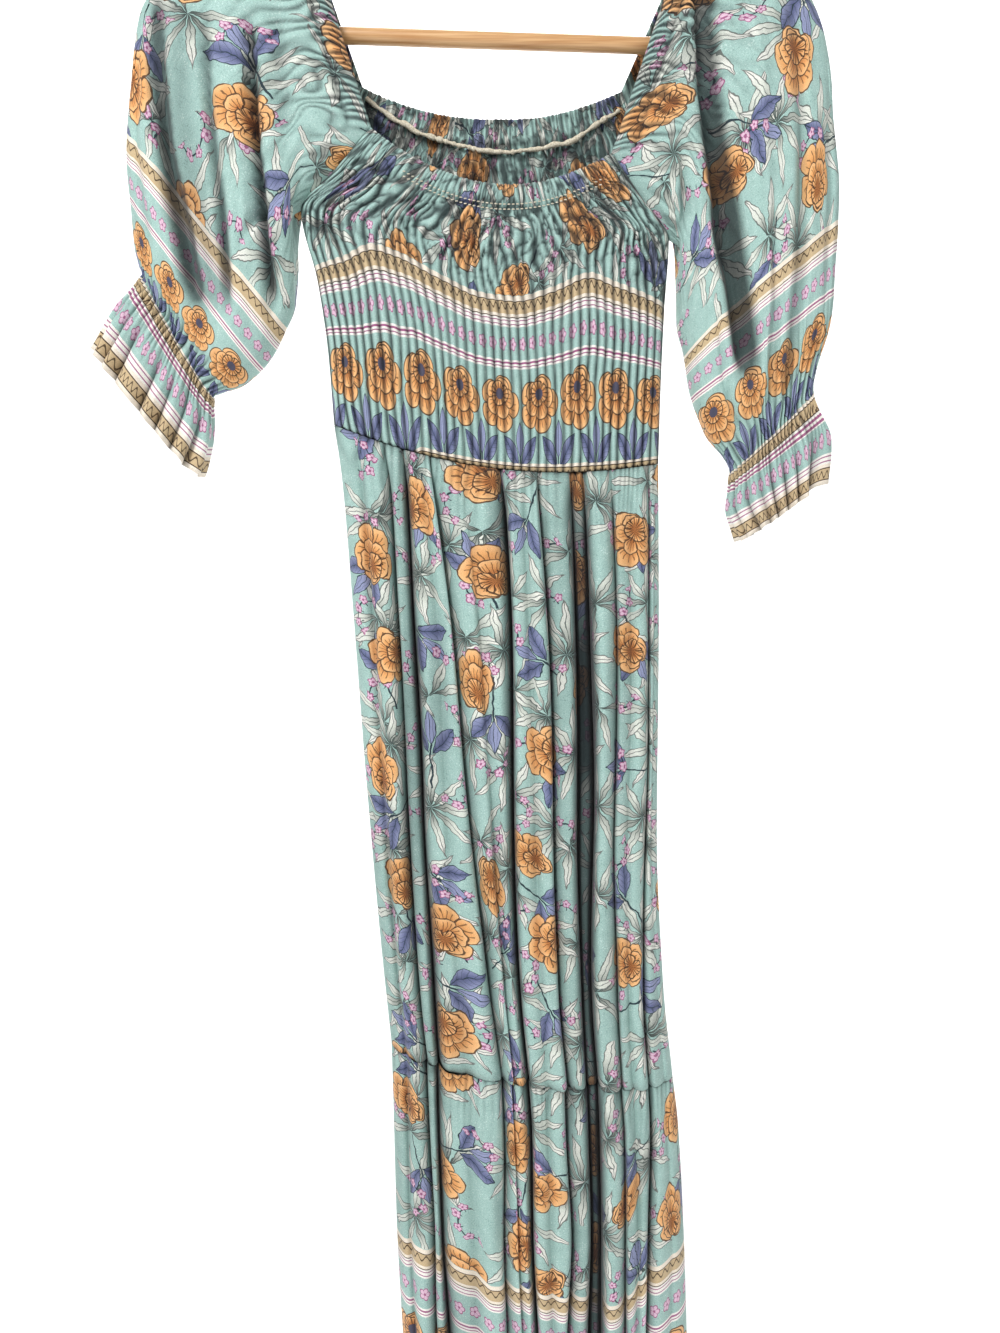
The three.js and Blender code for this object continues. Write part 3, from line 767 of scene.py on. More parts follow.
BODICE_LOW = (
    Section(-168, -341, 143, -365, 20, 27),
    Section(-155, -400, 140, -425, 20, 27),
    Section(-147, -460, 138, -490, 22, 25),
    Section(-143, -519, 137, -552, 22, 24),
)
BODICE_FRONT = (Section(-106, -283, 92, -303, 35, 27, 21), Section(-137, -312, 117.5, -334, 28, 27, 10.5),
                *BODICE_LOW)
BODICE_BACK = (Section(-118, -233, 104, -237, 24, 25, 21), Section(-143, -287, 123.5, -301, 18, 26, 10.5),
               *BODICE_LOW)
UPPER_TIER = (
    Section(-143, -519.6, 137, -552.6, 22, 24, 0.4, 0.25),
    Section(-137, -565, 138, -598, 20, 29, 0.4, 0.8),
    Section(-129, -680, 140, -712, 14, 34),
    Section(-119, -840, 141, -872, 10, 37),
    Section(-108, -985, 149, -1018, 10, 39),
    Section(-100, -1073.8, 159, -1104.8, 9, 39, 0.4, 0.9),
)
LOWER_TIER = (
    Section(-100, -1074.4, 159, -1105.4, 9, 39, 0.4, 0.9),
    Section(-99, -1125, 165, -1152, 8, 41),
    Section(-97, -1250, 173, -1272, 6, 43),
    Section(-92, -1370, 178, -1388, 5, 45),
    Section(-88, -1470, 181, -1484, 4, 46, 0.4, 1.05),
)
# Heights at which a crevice's four places stand: 0 is the waist, 1 the seam between the tiers, 2 the hem.
CREVICE_LEVELS = (0, 0.4, 1, 2)
FRONT_CREVICES = (
    Crevice(-0.88, -0.88, -0.89, -0.91, 10, 2),
    Crevice(-0.70, -0.70, -0.75, -0.735, 20, 3, 4),
    Crevice(-0.56, -0.57, -0.65, -0.66, 27, -2),
    Crevice(-0.47, -0.43, -0.44, -0.46, 5),
    Crevice(-0.38, -0.285, -0.17, -0.24, 15, -7),
    Crevice(-0.18, -0.13, -0.12, -0.15, 6, -4),
    Crevice(0.03, 0.0, -0.05, -0.085, 27, 4),
    Crevice(0.15, 0.16, 0.1, 0.03, 6),
    Crevice(0.27, 0.31, 0.25, 0.15, 17, -3, 3),
    Crevice(0.44, 0.455, 0.38, 0.26, 28, 0, 17),
    Crevice(0.51, 0.535, 0.44, 0.32, 28, 3),
    Crevice(0.70, 0.70, 0.60, 0.50, 16, 3, 3),
    Crevice(0.80, 0.81, 0.70, 0.57, 7),
    Crevice(0.93, 0.93, 0.81, 0.65, 18, -2),
    Crevice(0.97, 0.965, 0.92, 0.84, 5),
)
BACK_CREVICES = (
    Crevice(-0.84, -0.85, -0.86, -0.88, 14, 2),
    Crevice(-0.73, -0.76, -0.79, -0.8, 6),
    Crevice(-0.62, -0.66, -0.7, -0.72, 20, 3),
    Crevice(-0.5, -0.53, -0.57, -0.6, 7, -2),
    Crevice(-0.38, -0.41, -0.45, -0.5, 24, -3, 3),
    Crevice(-0.25, -0.28, -0.31, -0.36, 6),
    Crevice(-0.14, -0.17, -0.2, -0.24, 15, 5),
    Crevice(-0.02, -0.04, -0.07, -0.12, 6),
    Crevice(0.1, 0.08, 0.05, 0.0, 22, -2),
    Crevice(0.22, 0.21, 0.18, 0.12, 7, 3),
    Crevice(0.34, 0.33, 0.3, 0.24, 17, -4, 4),
    Crevice(0.46, 0.44, 0.42, 0.35, 8),
    Crevice(0.56, 0.54, 0.52, 0.44, 23, 3),
    Crevice(0.68, 0.67, 0.64, 0.56, 7),
    Crevice(0.8, 0.79, 0.76, 0.68, 15, 2),
    Crevice(0.91, 0.91, 0.88, 0.82, 6),
)
# Height of the border's top edge, which rises and falls with the folds: (x, z) on the skirt's front, and
# (place across from -1 to 1, z) on the bodice's.
SKIRT_BORDER = ((-98, -1252), (-63, -1256), (-25, -1271), (-5, -1283), (30, -1286), (50, -1294), (78, -1297),
                (108, -1302), (138, -1272), (176, -1264))
BODICE_BORDER = ((-1.0, -388), (-0.8, -384), (-0.62, -375), (-0.5, -380), (-0.28, -398), (-0.06, -414),
                 (0.14, -418), (0.35, -410), (0.56, -398), (0.7, -405), (1.0, -419))


def surface(sections: tuple[Section, ...], places: Array, t: Array, side: Side) -> tuple[Array, Array]:
    """The bare form of a panel, without folds.

    x and the seams' line run straight from seam to seam, the middle hangs below by the sag times
    1 - xi squared, and y is the edge plus the rest of the depth times the root of 1 - xi to the fourth.

    Args:
        sections: The panel's levels from the top down.
        places: xi of each point, shape (rows, columns).
        t: Level of each row, from 0 at the first section to 1 at the last.
        side: Front or back.

    Returns:
        Points in mm, and the fold share of each row.
    """
    table = np.array([astuple(s) for s in sections])
    drop = (table[:, 1] + table[:, 3]) / 2
    knots = (drop[0] - drop) / (drop[0] - drop[-1])
    xl, zl, xr, zr, sag, depth, edge, fold = spline(knots, table, t).T[:, :, None]
    xi = np.clip(places, -1, 1)
    x = (xl + xr) / 2 + (xr - xl) / 2 * xi
    z = (zl + zr) / 2 + (zr - zl) / 2 * xi - sag * (1 - xi * xi)
    y = side.value * (edge + (depth - edge) * rounding(xi, 4))
    return np.stack([x, y, z], 2), fold


@dataclass
class Cloth:
    """A sewn piece of the print that hangs gathered from the hanger, as one thin shell.

    flat: width and length of the cloth it is cut from, in metres.
    """

    name: str
    flat: tuple[float, float]

    AROUND = False
    THICKNESS = 0.8

    def points(self) -> tuple[Array, Array, Array]:
        """Points in mm, their places on the flat cloth in mm, and the painted shade of each, from 0 to 1."""
        raise NotImplementedError

    def build(self, material: bpy.types.Material) -> bpy.types.Object:
        """Makes and dresses the piece, and logs how its area compares with its flat cloth."""
        grid, cloth, shade = self.points()
        inner = grid.mean(axis=1, keepdims=True) if self.AROUND else grid * np.array([1, 0, 1])
        thing = grid_object(self.name + "_cloth", grid, inner, self.AROUND, cloth, shade)
        solid = thing.modifiers.new("cloth_wall", "SOLIDIFY")
        solid.thickness, solid.offset = self.THICKNESS * MM, -1
        dress_piece(thing, material, "printed_cloth", self.name)
        down, across = grid[1:, :-1] - grid[:-1, :-1], grid[:-1, 1:] - grid[:-1, :-1]
        area = np.linalg.norm(np.cross(down, across), axis=2).sum() * MM * MM
        log.info("%s: %d faces, %.3f m2, %.2f of flat", thing.name, len(thing.data.polygons), area,
                 area / (self.flat[0] * self.flat[1]))
        return thing


@dataclass
class Skirt(Cloth):
    """One tier of the skirt, front or back: tube-like folds between deep narrow crevices.

    measured_at: share of the way down at which the width of the flat cloth is measured.
    """

    side: Side
    sections: tuple[Section, ...]
    crevices: tuple[Crevice, ...]
    lower: bool
    rows: int
    seed: int = 5
    columns_a_fold: int = 22
    measured_at: float = 0.6

    def folds(self, t: Array) -> tuple[Array, Array, Array, Array]:
        """Places across, fold depth, lean and painted shade of every point.

        Within a fold the phase q runs from 0 to 1. The place is the crevice's plus q of the fold's width
        less a sine that crowds points into the crevices, and the depth is the crevice's times
        ((1 + cos 2 pi q) / 2) to a power that rises with the depth, so that shallow folds are rounder.

        Args:
            t: Level of each row, from 0 at the tier's top to 1 at its bottom.

        Returns:
            The places, shape (rows, columns), and the other three, shape (columns,).
        """
        height = t + 1 if self.lower else t
        table = np.array([astuple(c) for c in self.crevices])
        lines = spline(CREVICE_LEVELS, table[:, :4].T, height)
        number = np.arange(len(self.crevices))[None]
        lines = lines + 0.02 * noise(number * 7.3 + 0.5, height[:, None] * 3.6, self.seed + 8)
        ends = np.ones((len(t), 1))
        lines = np.concatenate([-ends, lines, ends], 1)
        deep, lean, sink = np.pad(table[:, 4:], ((1, 1), (0, 0))).T
        count = len(self.crevices) + 1
        w = np.linspace(0, count, count * self.columns_a_fold + 1)
        cell = np.minimum(w.astype(int), count - 1)
        q = w - cell
        near = np.where(q < 0.5, cell, cell + 1)
        curl = (1 + np.cos(TURN * q)) / 2
        sharp = unit(deep[near] / 17)
        crowd = (0.2 + 0.7 * sharp) / TURN * np.sin(TURN * q)
        at_seam = (cell == 0) & (q < 0.5) | (cell == count - 1) & (q > 0.5)
        crowd = np.where(at_seam, 0.3 * crowd, crowd)
        places = lines[:, cell] + (lines[:, cell + 1] - lines[:, cell]) * (q - crowd)
        inset = sink[cell] * (1 - curl) + deep[near] * curl ** (0.9 + 0.45 * sharp)
        shade = np.minimum(1, (deep[near] / 21) ** 1.2 * curl ** (2.1 - sharp)) + sink[cell] / 19 * (1 - curl)
        return places, inset, lean[near] * curl, shade

    def points(self) -> tuple[Array, Array, Array]:
        """The folded surface: the bare form, less the folds, plus soft folds and the gathers at the seams."""
        t = np.linspace(0, 1, self.rows) ** (1.1 if self.lower else 1.25)
        places, inset, lean, shade = self.folds(t)
        grid, fold = surface(self.sections, places, t, self.side)
        rim = rounding(np.clip(places, -1, 1), 4)
        x, z = grid[..., 0], grid[..., 2]
        down = z[:1] - z
        # soft folds 40 mm wide and 150 mm long, which start 40 mm below the seam
        loose = noise(x / 19 + 3, z / 150, self.seed) * 2.8 + noise(x / 8, z / 110 + 7, self.seed + 1) * 1.7
        free = np.minimum(1, down / 40)
        # gathers 6 to 11 mm apart, which leave the seam above and the upper tier's lower edge
        pitch = 8.5 + 2.5 * noise(x / 40, 1, self.seed + 2)
        fine = gather(x / pitch + 0.6 * noise(x / 15, z / 40, self.seed + 3)) - 0.6
        near_seam = fade(down, 30 if self.lower else 38)
        gathers = fine * 2.6 * near_seam - 1.6 * fade(down, 5)
        if not self.lower:
            up = z - z[-1:]
            gathers = gathers + fine * 0.8 * fade(up, 14) - 1.5 * fade(up, 6)
        grid[..., 1] += self.side.value * ((2.0 - inset) * fold + loose * free + gathers) * rim
        # the front and the back stay apart, by more in the middle than at the side seams
        apart = (0.4 + 5.0 * rim) * np.minimum(1, rim * 2) + 0.3
        grid[..., 1] = self.side.value * np.maximum(self.side.value * grid[..., 1], apart)
        grid[..., 0] += lean * fold * rim
        u = arc(grid[int(self.rows * self.measured_at)] * np.array([1, 1, 0]))
        if self.side is Side.BACK:
            u = u[-1] * 2.0 + 20 - u
        v = self.heights(x, z)
        # painted shade: dark in the crevices, in the low parts of the soft folds and the gathers, and in a line
        # below the seam above
        shade = (shade * np.minimum(1, fold) * rim + 0.26 * grooves(loose, -0.15, 1 / 3) * free
                 + 0.55 * grooves(fine, 0.35) * near_seam + (0.12 if self.lower else 0.4) * fade(down, 3))
        return grid, np.stack([np.broadcast_to(u, z.shape), v], 2), shade

    def heights(self, x: Array, z: Array) -> Array:
        """Height on the flat cloth: from the hem edge through the border's top edge, then straight up."""
        up = z - z[-1:]
        if not self.lower:
            return 340 + up
        if self.side is Side.BACK:
            return up
        edge = np.array(SKIRT_BORDER, float).T
        top = spline(*edge, np.clip(x[int(self.rows * 0.7)], edge[0, 0], edge[0, -1]))[None]
        return np.where(z < top, BORDER * up / (top - z[-1:]), BORDER + (z - top))


@dataclass
class Bodice(Cloth):
    """The shirred front or back of the bodice: fine ribs from rows of elastic, and a gathered casing.

    rib, rib_height: pitch and height of the ribs. half: half of the width over which they are counted.
    casing, casing_rib: width of the neckline's casing, and the pitch of its puckers.
    """

    side: Side
    sections: tuple[Section, ...]
    seed: int = 40
    rows: int = 110
    columns: int = 300
    rib: float = 7.2
    rib_height: float = 5.2
    half: float = 145
    casing: float = 17
    casing_rib: float = 5.2
    back_border: float = -400

    def points(self) -> tuple[Array, Array, Array]:
        """The ribbed surface: straight ribs below the border's top edge, and branching crumples above it."""
        t = np.linspace(0, 1, self.rows)
        bend = np.pi / 2 * 0.92
        across = np.sin(np.linspace(-1, 1, self.columns) * bend) / math.sin(bend)
        places = np.broadcast_to(across, (self.rows, self.columns))
        grid, _ = surface(self.sections, places, t, self.side)
        z = grid[..., 2].copy()
        rim = rounding(places, 4)
        down, up = z[:1] - z, z - z[-1:]
        across = places * self.half
        if self.side is Side.BACK:
            top = self.back_border
        else:
            top = spline(*np.array(BODICE_BORDER).T, places[0])[None]
        # above the border the ribs wander and cross, below it they run straight
        messy = ease(z - top - 12, 9)
        warp = noise(across / 26, z / 45, self.seed) * (0.3 + 0.7 * messy)
        warp = warp + noise(across / 11, z / 17, self.seed + 1) * 0.55 * messy
        slant = messy * np.sign(across) * (z - top) * 0.02
        ribs = gather(across / self.rib + warp + slant, 0.6)
        pucker = gather(z / 9.5 + 0.25 * noise(across / 14, z / 30, self.seed + 2), 0.6)
        uneven = 1.4 * noise(across / 9, z / 14, self.seed + 3) * (0.4 + messy)
        # crumples: sharp valleys where a stretched noise crosses nought, which branch and run mostly downwards
        first = np.abs(noise(across / 5.2 + 1.2 * warp, z / 14, self.seed + 9))
        second = np.abs(noise(across / 6.6 - z / 60, z / 10, self.seed + 10))
        tangle = np.minimum(1, np.minimum(first * 3.2, second * 3.6)) ** 0.7
        height = (self.rib_height + uneven) * ribs * (0.8 + 0.2 * pucker)
        height = height + messy * (1.6 * noise(across / 16, z / 24, self.seed + 4) + 3.0 * tangle)
        # the casing: a puffed edge over its elastic, pinched by two rows of stitching
        on_casing = ease(self.casing - down, 1.5)
        tucks = gather(across / self.casing_rib + 0.6 * warp, 0.9)
        puff = 2.6 * np.sin(np.pi * unit(down / self.casing)) ** 0.7 + 2.2 * tucks + 1.2 * tangle
        height = height * (1 - on_casing) + puff * on_casing - 1.6 * bell(down - 18, 2.2)
        height = height - 2.2 * fade(up, 3.5)
        wide = noise(across / 60, z / 70, self.seed + 6) * 2
        grid[..., 1] += self.side.value * (height - 4.4 + wide) * np.minimum(1, rim * 1.5)
        grid[..., 2] += messy * noise(across / 12, z / 12, self.seed + 5) * rim * (1 - on_casing)
        # painted shade: dark in the ribs' grooves, the crumples and the casing's tucks, and in a line along the
        # casing's stitching
        shade = (grooves(ribs, 1.3, 1.4) * (1 - on_casing) + 0.35 * bell(down - 19, 1.6)
                 + messy * grooves(tangle, 1.12, 1.25) + grooves(tucks, 1, 1.4) * on_casing * 0.9)
        u = (across + self.half) * 1.75 + warp * 4
        if self.side is Side.BACK:
            u = 1400 - u
        waist = np.interp(places[:1], (-1, -0.52, -0.45, 1), (59.5, 59.5, 53.5, 52.0))
        v = np.where(z < top, waist + (BORDER - waist) * up / (top - z[-1:]), BORDER + (z - top))
        return grid, np.stack([u, v], 2), np.minimum(0.9, shade)


@dataclass(frozen=True)
class Ring:
    """One ring of a sleeve.

    xo, zo, xi, zi: its point on the outer edge and on the inner one. depth: its depth at the middle.
    bulge: how far it bows towards the body. vo, vi: height on the flat cloth at those two points.
    """

    xo: float
    zo: float
    xi: float
    zi: float
    depth: float
    bulge: float
    vo: float
    vi: float


@dataclass(frozen=True)
class Crease:
    """A valley pressed into a sleeve along a line of (x, z) points, or a ridge where deep is negative."""

    line: tuple[tuple[float, float], ...]
    half: float
    deep: float
    side: Side = Side.FRONT

    def depth(self, x: Array, z: Array) -> Array:
        """Depth at each point: full on the line, falling as a squared cosine to nothing at half.

        It also runs out over the last 24 mm of the line at both ends.
        """
        line = np.array(self.line, float)
        best = np.full(x.shape, 1e9)
        along = np.zeros(x.shape)
        total = arc(line)
        for i, (a, b) in enumerate(zip(line[:-1], line[1:])):
            step = b - a
            share = unit(((x - a[0]) * step[0] + (z - a[1]) * step[1]) / (step @ step))
            away = np.hypot(x - a[0] - share * step[0], z - a[1] - share * step[1])
            closer = away < best
            best = np.where(closer, away, best)
            along = np.where(closer, total[i] + share * (total[i + 1] - total[i]), along)
        ends = unit(np.minimum(along + 6, total[-1] - along + 6) / 30)
        return self.deep * ends * np.cos(unit(best / self.half) * np.pi / 2) ** 2


@dataclass
class Sleeve(Cloth):
    """A balloon sleeve with its elastic and cuff flounce: one tube, open at the armhole and the cuff.

    The columns run round the tube from the underarm up the front, over the arm and down the back. Rings
    are counted from 0 at the armhole: the elastic is at ring ELASTIC and the flounce's edge at the last.
    """

    left: bool
    rings: tuple[Ring, ...]
    creases: tuple[Crease, ...]
    top: tuple[float, float]
    front_corner: tuple[float, float]
    back_corner: tuple[float, float]
    under: tuple[float, float]
    seed: int = 60
    rows: int = 92
    under_columns: int = 50
    neck_columns: int = 224
    back_columns: int = 124
    seam_gap: float = 0.6
    armhole_depth: float = 21
    casing: float = 18
    cuff_pitch: float = 10.5
    frill_pitch: float = 34

    AROUND = True
    ELASTIC = 7

    def armhole(self, share: Array, side: Array) -> Array:
        """The armhole's ring: over the arm, down the casing to the corner, and straight to the underarm.

        k runs from 0 at the top of the arm to 16 at the underarm, and the corner is at 10.
        """
        k = np.arccos(1 - 2 * share) / np.pi * 16
        out = self.seam_gap if self.left else -self.seam_gap
        corner = np.where(side[:, None] < 0, self.front_corner, self.back_corner)
        corner_x, corner_z = corner[:, 0] + out, corner[:, 1]
        down, rest = unit((k - 2) / 8) ** 1.2, unit((k - 10) / 6)
        x = self.top[0] + (corner_x - self.top[0]) * down + (self.under[0] + out - corner_x) * rest
        z = self.top[1] + (corner_z - self.top[1]) * down + (self.under[1] - corner_z) * rest
        y = self.armhole_depth * np.where(k < 10, np.sin(np.pi / 2 * unit(k / 10) ** 0.7), 1 - rest)
        return np.stack([x, side * y, z], 1)

    def tube(self, share: Array, side: Array) -> tuple[Array, Array]:
        """The rings as points, and the height on the flat cloth of each, with the armhole's first."""
        table = np.array([astuple(r) for r in self.rings])
        xo, zo, xi, zi, depth, bulge, vo, vi = table.T[:, :, None]
        dx, dz = xi - xo, zi - zo
        stand = (1 if self.left else -1) * bulge * 4 * share * (1 - share) / np.hypot(dx, dz)
        x, z = xo + dx * share - dz * stand, zo + dz * share + dx * stand
        y = side * depth * rounding(2 * share - 1, 3)
        rings = np.concatenate([self.armhole(share, side)[None], np.stack([x, y, z], 2)])
        heights = vo + (vi - vo) * share
        top = heights[:1] + np.linalg.norm(rings[:1] - rings[1:2], axis=2)
        return rings, np.concatenate([top, heights])

    def neck(self, share: Array, side: Array, length: Array, off: Array, r: Array) -> tuple[Array, Array]:
        """Puckers of the neckline's casing and the pleats that run down from it.

        Args:
            share: 0 on the outer edge of the tube and 1 on the inner one, for each column.
            side: -1 in front and 1 behind, for each column.
            length: Length along the armhole, for each column.
            off: Distance from the armhole, for each point.
            r: Ring number of each row.

        Returns:
            Height and shade of each point.
        """
        on_neck = ease(0.7 - share, 1 / 70)[None]
        on_seam = 0.6 + 0.4 * on_neck
        wander = noise(length / 12, r[:, None] * 2.0, self.seed)
        # puckers 5.4 mm apart in front and wider behind, and pleats of twice that below them
        count = np.cumsum(np.diff(length, prepend=0.0) / np.where(side < 0, 5.4, 8.5))[None]
        fine = count + 0.5 * wander
        broad = count / 2.1 + 0.9 * wander + 0.6 * noise(count / 3, off / 22, self.seed + 7)
        in_casing = np.exp(-(off / self.casing) ** 6)
        below = unit((off - 12) / 9)
        puffed = gather(fine, 0.9) * 1.7 + 2.2 * np.sin(np.pi * unit(off / 19))
        height = ((puffed * in_casing - 2.6 * bell(off - self.casing, 3)) * on_neck
                  + gather(broad, 0.65) * 4.4 * fade(off, 48) * below * on_seam)
        # painted shade: the dark of a groove lies towards the lower flank of the crest above, where light doesn't
        # reach
        groove = 1.35 * grooves(gather(broad - 0.12, 0.8), 1.15, 1.3) * fade(off, 52) * below
        # painted shade in the grooves between the casing's puckers, and a dark line along its stitching below them
        tight = grooves(gather(fine - 0.15, 0.9), 1.5, 1.5) * in_casing
        return height, (tight + 0.55 * bell(off - 18.5, 1.8)) * on_neck + groove * on_seam

    def cuff(self, u: Array, r: Array) -> tuple[Array, Array]:
        """Gathers on both sides of the cuff's elastic, and the waves of the flounce below it.

        Args:
            u: Place across the flat cloth, for each column.
            r: Ring number of each row.

        Returns:
            Height and shade of each point.
        """
        u, r = u[None], r[:, None]
        gathers = gather(u / self.cuff_pitch + 0.8 * noise(u / 20, r * 1.2, self.seed + 1), 0.7)
        frill = gather(u / self.frill_pitch + 0.6 * noise(u / 60, 0, self.seed + 2), 0.75)
        near, band = bell(r - self.ELASTIC, 0.75), bell(r - self.ELASTIC, 0.12)
        hem = np.clip(r - self.ELASTIC - 0.1, 0, 2) ** 1.2
        height = ((gathers - 0.6) * 5.5 - 1.0) * near + (frill - 0.55) * 7.5 * hem - 2.0 * band
        # painted shade in the grooves of the gathers and in the hollows of the flounce
        return height, grooves(gathers, 0.95, 1.1) * near + 1.3 * grooves(frill, 0.55) * np.minimum(1, hem)

    def points(self) -> tuple[Array, Array, Array]:
        """The creased tube: the rings' surface, pressed in at the creases, plus the gathers along its normals."""
        corner = 6 * np.pi / 16
        turn = np.concatenate([np.linspace(0, corner, self.under_columns, endpoint=False),
                               np.linspace(corner, np.pi, self.neck_columns, endpoint=False),
                               np.linspace(np.pi, TURN, self.back_columns + 1)])
        share = (1 + np.cos(turn)) / 2
        side = np.where(turn < np.pi, -1.0, 1.0)
        rings, heights = self.tube(share, side)
        # ring number of each row: close together at the casing, where the puckers are fine
        r = spline([0, 0.22, 0.6, 1], [0, 1.3, 5.2, 9], np.linspace(0, 1, self.rows))
        knots = np.arange(len(rings), dtype=float)
        grid, v = spline(knots, rings, r), spline(knots, heights, r)
        x, z = grid[..., 0], grid[..., 2]
        rim = rounding(2 * share - 1, 3)[None]
        inset = sum(c.depth(x, z) * (side[None] == c.side.value) for c in self.creases) * rim
        # the cloth stays clear of the arms and the bar above z = -250, and of the other side below
        clear = 3 + 9.5 * unit((z + 275) / 25)
        full = np.abs(grid[..., 1])
        grid[..., 1] = side * np.maximum(full - inset, np.minimum(full, clear))
        way = normals(grid[:, :-1], True)
        way = np.concatenate([way, way[:, :1]], 1)
        if np.sum(way * (grid - grid.mean(axis=1, keepdims=True))) < 0:
            way = -way
        u = arc(rings[4])  # the ring that passes through the middle of the sleeve
        neck, neck_shade = self.neck(share, side, arc(rings[0]), arc(grid), r)
        cuff, cuff_shade = self.cuff(u, r)
        loose = noise(x / 17, z / 60, self.seed + 3) * 2.0 + noise(x / 9 + 5, z / 26, self.seed + 4) * 0.8
        height = (neck + cuff + loose * unit(r / 1.2)[:, None]) * unit(r / 0.15)[:, None]
        grid = grid + way * (height * np.clip(rim * 3, 0.25, 1))[..., None]
        grid[:, -1] = grid[:, 0] = (grid[:, -1] + grid[:, 0]) / 2
        # painted shade in the creases, added to that of the neckline and the cuff
        shade = np.minimum(0.84 * unit((inset - 2.5) / 9) ** 1.1 + neck_shade + cuff_shade, 0.9)
        u = u if self.left else u + 700
        return grid[:, :-1], np.stack([np.broadcast_to(u, v.shape), v], 2), shade[:, :-1]


LEFT_RINGS = (
    Ring(-196, -128, -179, -350, 26, 34, 400, 262), Ring(-252, -142, -174, -388, 28, 16, 345, 232),
    Ring(-296, -182, -175, -418, 29, 8, 285, 208), Ring(-308, -250, -183, -440, 30, 2, 221, 188),
    Ring(-311, -312, -199, -467, 30, 0, 158, 148), Ring(-309, -362, -224, -487, 27, 0, 104, 102),
    Ring(-303, -392, -246, -495, 17, 0, 62, 60), Ring(-324, -420, -250, -527, 20, 0, 30, 30),
    Ring(-346, -456, -262, -563, 24, 0, 0, 0),
)
LEFT_CREASES = (
    Crease(((-281, -165), (-280, -230), (-274, -300), (-262, -365), (-252, -425)), 12, 19),
    Crease(((-203, -195), (-199, -290), (-194, -360), (-190, -430)), 8, 18),
    Crease(((-240, -190), (-235, -280), (-228, -350), (-224, -430)), 9, 10),
    Crease(((-262, -165), (-260, -280), (-245, -370), (-236, -440)), 30, 7),
    Crease(((-182, -180), (-178, -250), (-174, -300)), 16, 6),
    Crease(((-299, -215), (-297, -300), (-288, -385)), 6, 6),
    Crease(((-176, -335), (-200, -352), (-214, -380)), 6, 6),
    Crease(((-214, -250), (-210, -330), (-206, -400)), 6, -3),
    Crease(((-270, -170), (-268, -260), (-252, -350), (-240, -430)), 9, 12, Side.BACK),
    Crease(((-212, -190), (-206, -290), (-205, -380), (-218, -450)), 10, 13, Side.BACK),
    Crease(((-240, -180), (-236, -280), (-228, -370)), 8, 6, Side.BACK),
)
RIGHT_RINGS = (
    Ring(190, -136, 154, -375, 26, 32, 430, 310), Ring(236, -150, 150, -408, 28, 16, 385, 270),
    Ring(265, -192, 151, -436, 30, 8, 335, 232), Ring(277, -262, 157, -458, 31, 2, 270, 196),
    Ring(285, -340, 163, -488, 31, 0, 200, 150), Ring(282, -420, 177, -525, 28, 0, 126, 102),
    Ring(270, -488, 199, -558, 17, 0, 62, 60), Ring(282, -530, 198, -588, 20, 0, 30, 30),
    Ring(277, -568, 212, -617, 24, 0, 0, 0),
)
RIGHT_CREASES = (
    Crease(((162, -160), (168, -250), (181, -330), (195, -410), (208, -482)), 15, 30),
    Crease(((238, -180), (246, -300), (248, -400), (240, -510)), 9, 8),
    Crease(((269, -230), (275, -330), (270, -430)), 6, 5),
    Crease(((148, -300), (152, -350), (142, -385)), 5, 8),
    Crease(((205, -180), (214, -300), (226, -420)), 10, -4),
    Crease(((222, -330), (228, -430), (228, -520)), 6, 6),
    Crease(((180, -430), (188, -490), (205, -535)), 5, 5),
    Crease(((240, -180), (245, -300), (240, -420), (236, -500)), 9, 12, Side.BACK),
    Crease(((180, -220), (190, -320), (198, -420), (212, -510)), 10, 13, Side.BACK),
    Crease(((212, -190), (218, -320), (220, -430)), 8, 6, Side.BACK),
)


@dataclass
class NeckTrims:
    """The overlocked edge inside the back neckline and the stitching of the front casing.

    stitch, thread, pitch: a stitch's length and half width, and the distance from one to the next.
    stitch_rows: how far below the edge the two rows run. cord: the serging's half width.
    """

    stitch: float = 2.4
    thread: float = 0.5
    pitch: float = 3.6
    stitch_rows: tuple[float, float] = (17.0, 21.0)
    cord: float = 2.0

    def serging(self, material: bpy.types.Material) -> bpy.types.Object:
        """The casing's raw edge inside the back: a fuzzy cord that follows it in small waves."""
        xi = np.linspace(-0.97, 0.985, 420)
        base, _ = surface(BODICE_BACK, xi[None], np.zeros(1), Side.BACK)
        path = base[0].copy()
        x = path[:, 0]
        path[:, 2] -= np.interp(xi, (-1, -0.55, 0, 0.6, 1), (8, 20, 27, 26, 14)) + noise(x / 9, 0, 90)
        path[:, 1] -= 3.6 + 0.7 * noise(x / 5, 2, 91)
        points = tube_points(path, closing(self.cord + 0.7 * noise(x / 2.2, 0, 92)), 10)
        thing = grid_object("back_neck_serging", points, path[:, None], True)
        dress_piece(thing, material, "printed_cloth")
        return thing

    def stitches(self, material: bpy.types.Material) -> bpy.types.Object:
        """Two rows of stitches along the front casing, each a small rounded bar that lies on the cloth."""
        base, _ = surface(BODICE_FRONT, np.arange(-0.72, 0.93, self.pitch / 100)[None], np.zeros(1), Side.FRONT)
        spots = np.concatenate([base[0] - np.array([0, 1.2, drop]) for drop in self.stitch_rows])
        rings, sides = 5, 6
        turn = np.linspace(0, TURN, sides, endpoint=False)
        along = np.array([-1.0, -0.8, 0, 0.8, 1.0])[:, None] * self.stitch / 2
        thick = np.array([0.1, 0.84, 1, 0.84, 0.1])[:, None] * self.thread
        bar = np.stack([np.broadcast_to(along, (rings, sides)), thick * np.cos(turn), thick * np.sin(turn)], 2)
        corners = quads(rings, sides, True)
        face = corners[..., 0] * sides + corners[..., 1] % sides
        faces = np.arange(len(spots))[:, None, None] * rings * sides + face[None]
        thing = smooth_object("casing_stitches", spots[:, None] + bar.reshape(-1, 3)[None], faces.reshape(-1, 4))
        dress_piece(thing, material, "printed_cloth")
        return thing


# ------------------------------------------------------------------ the hanger


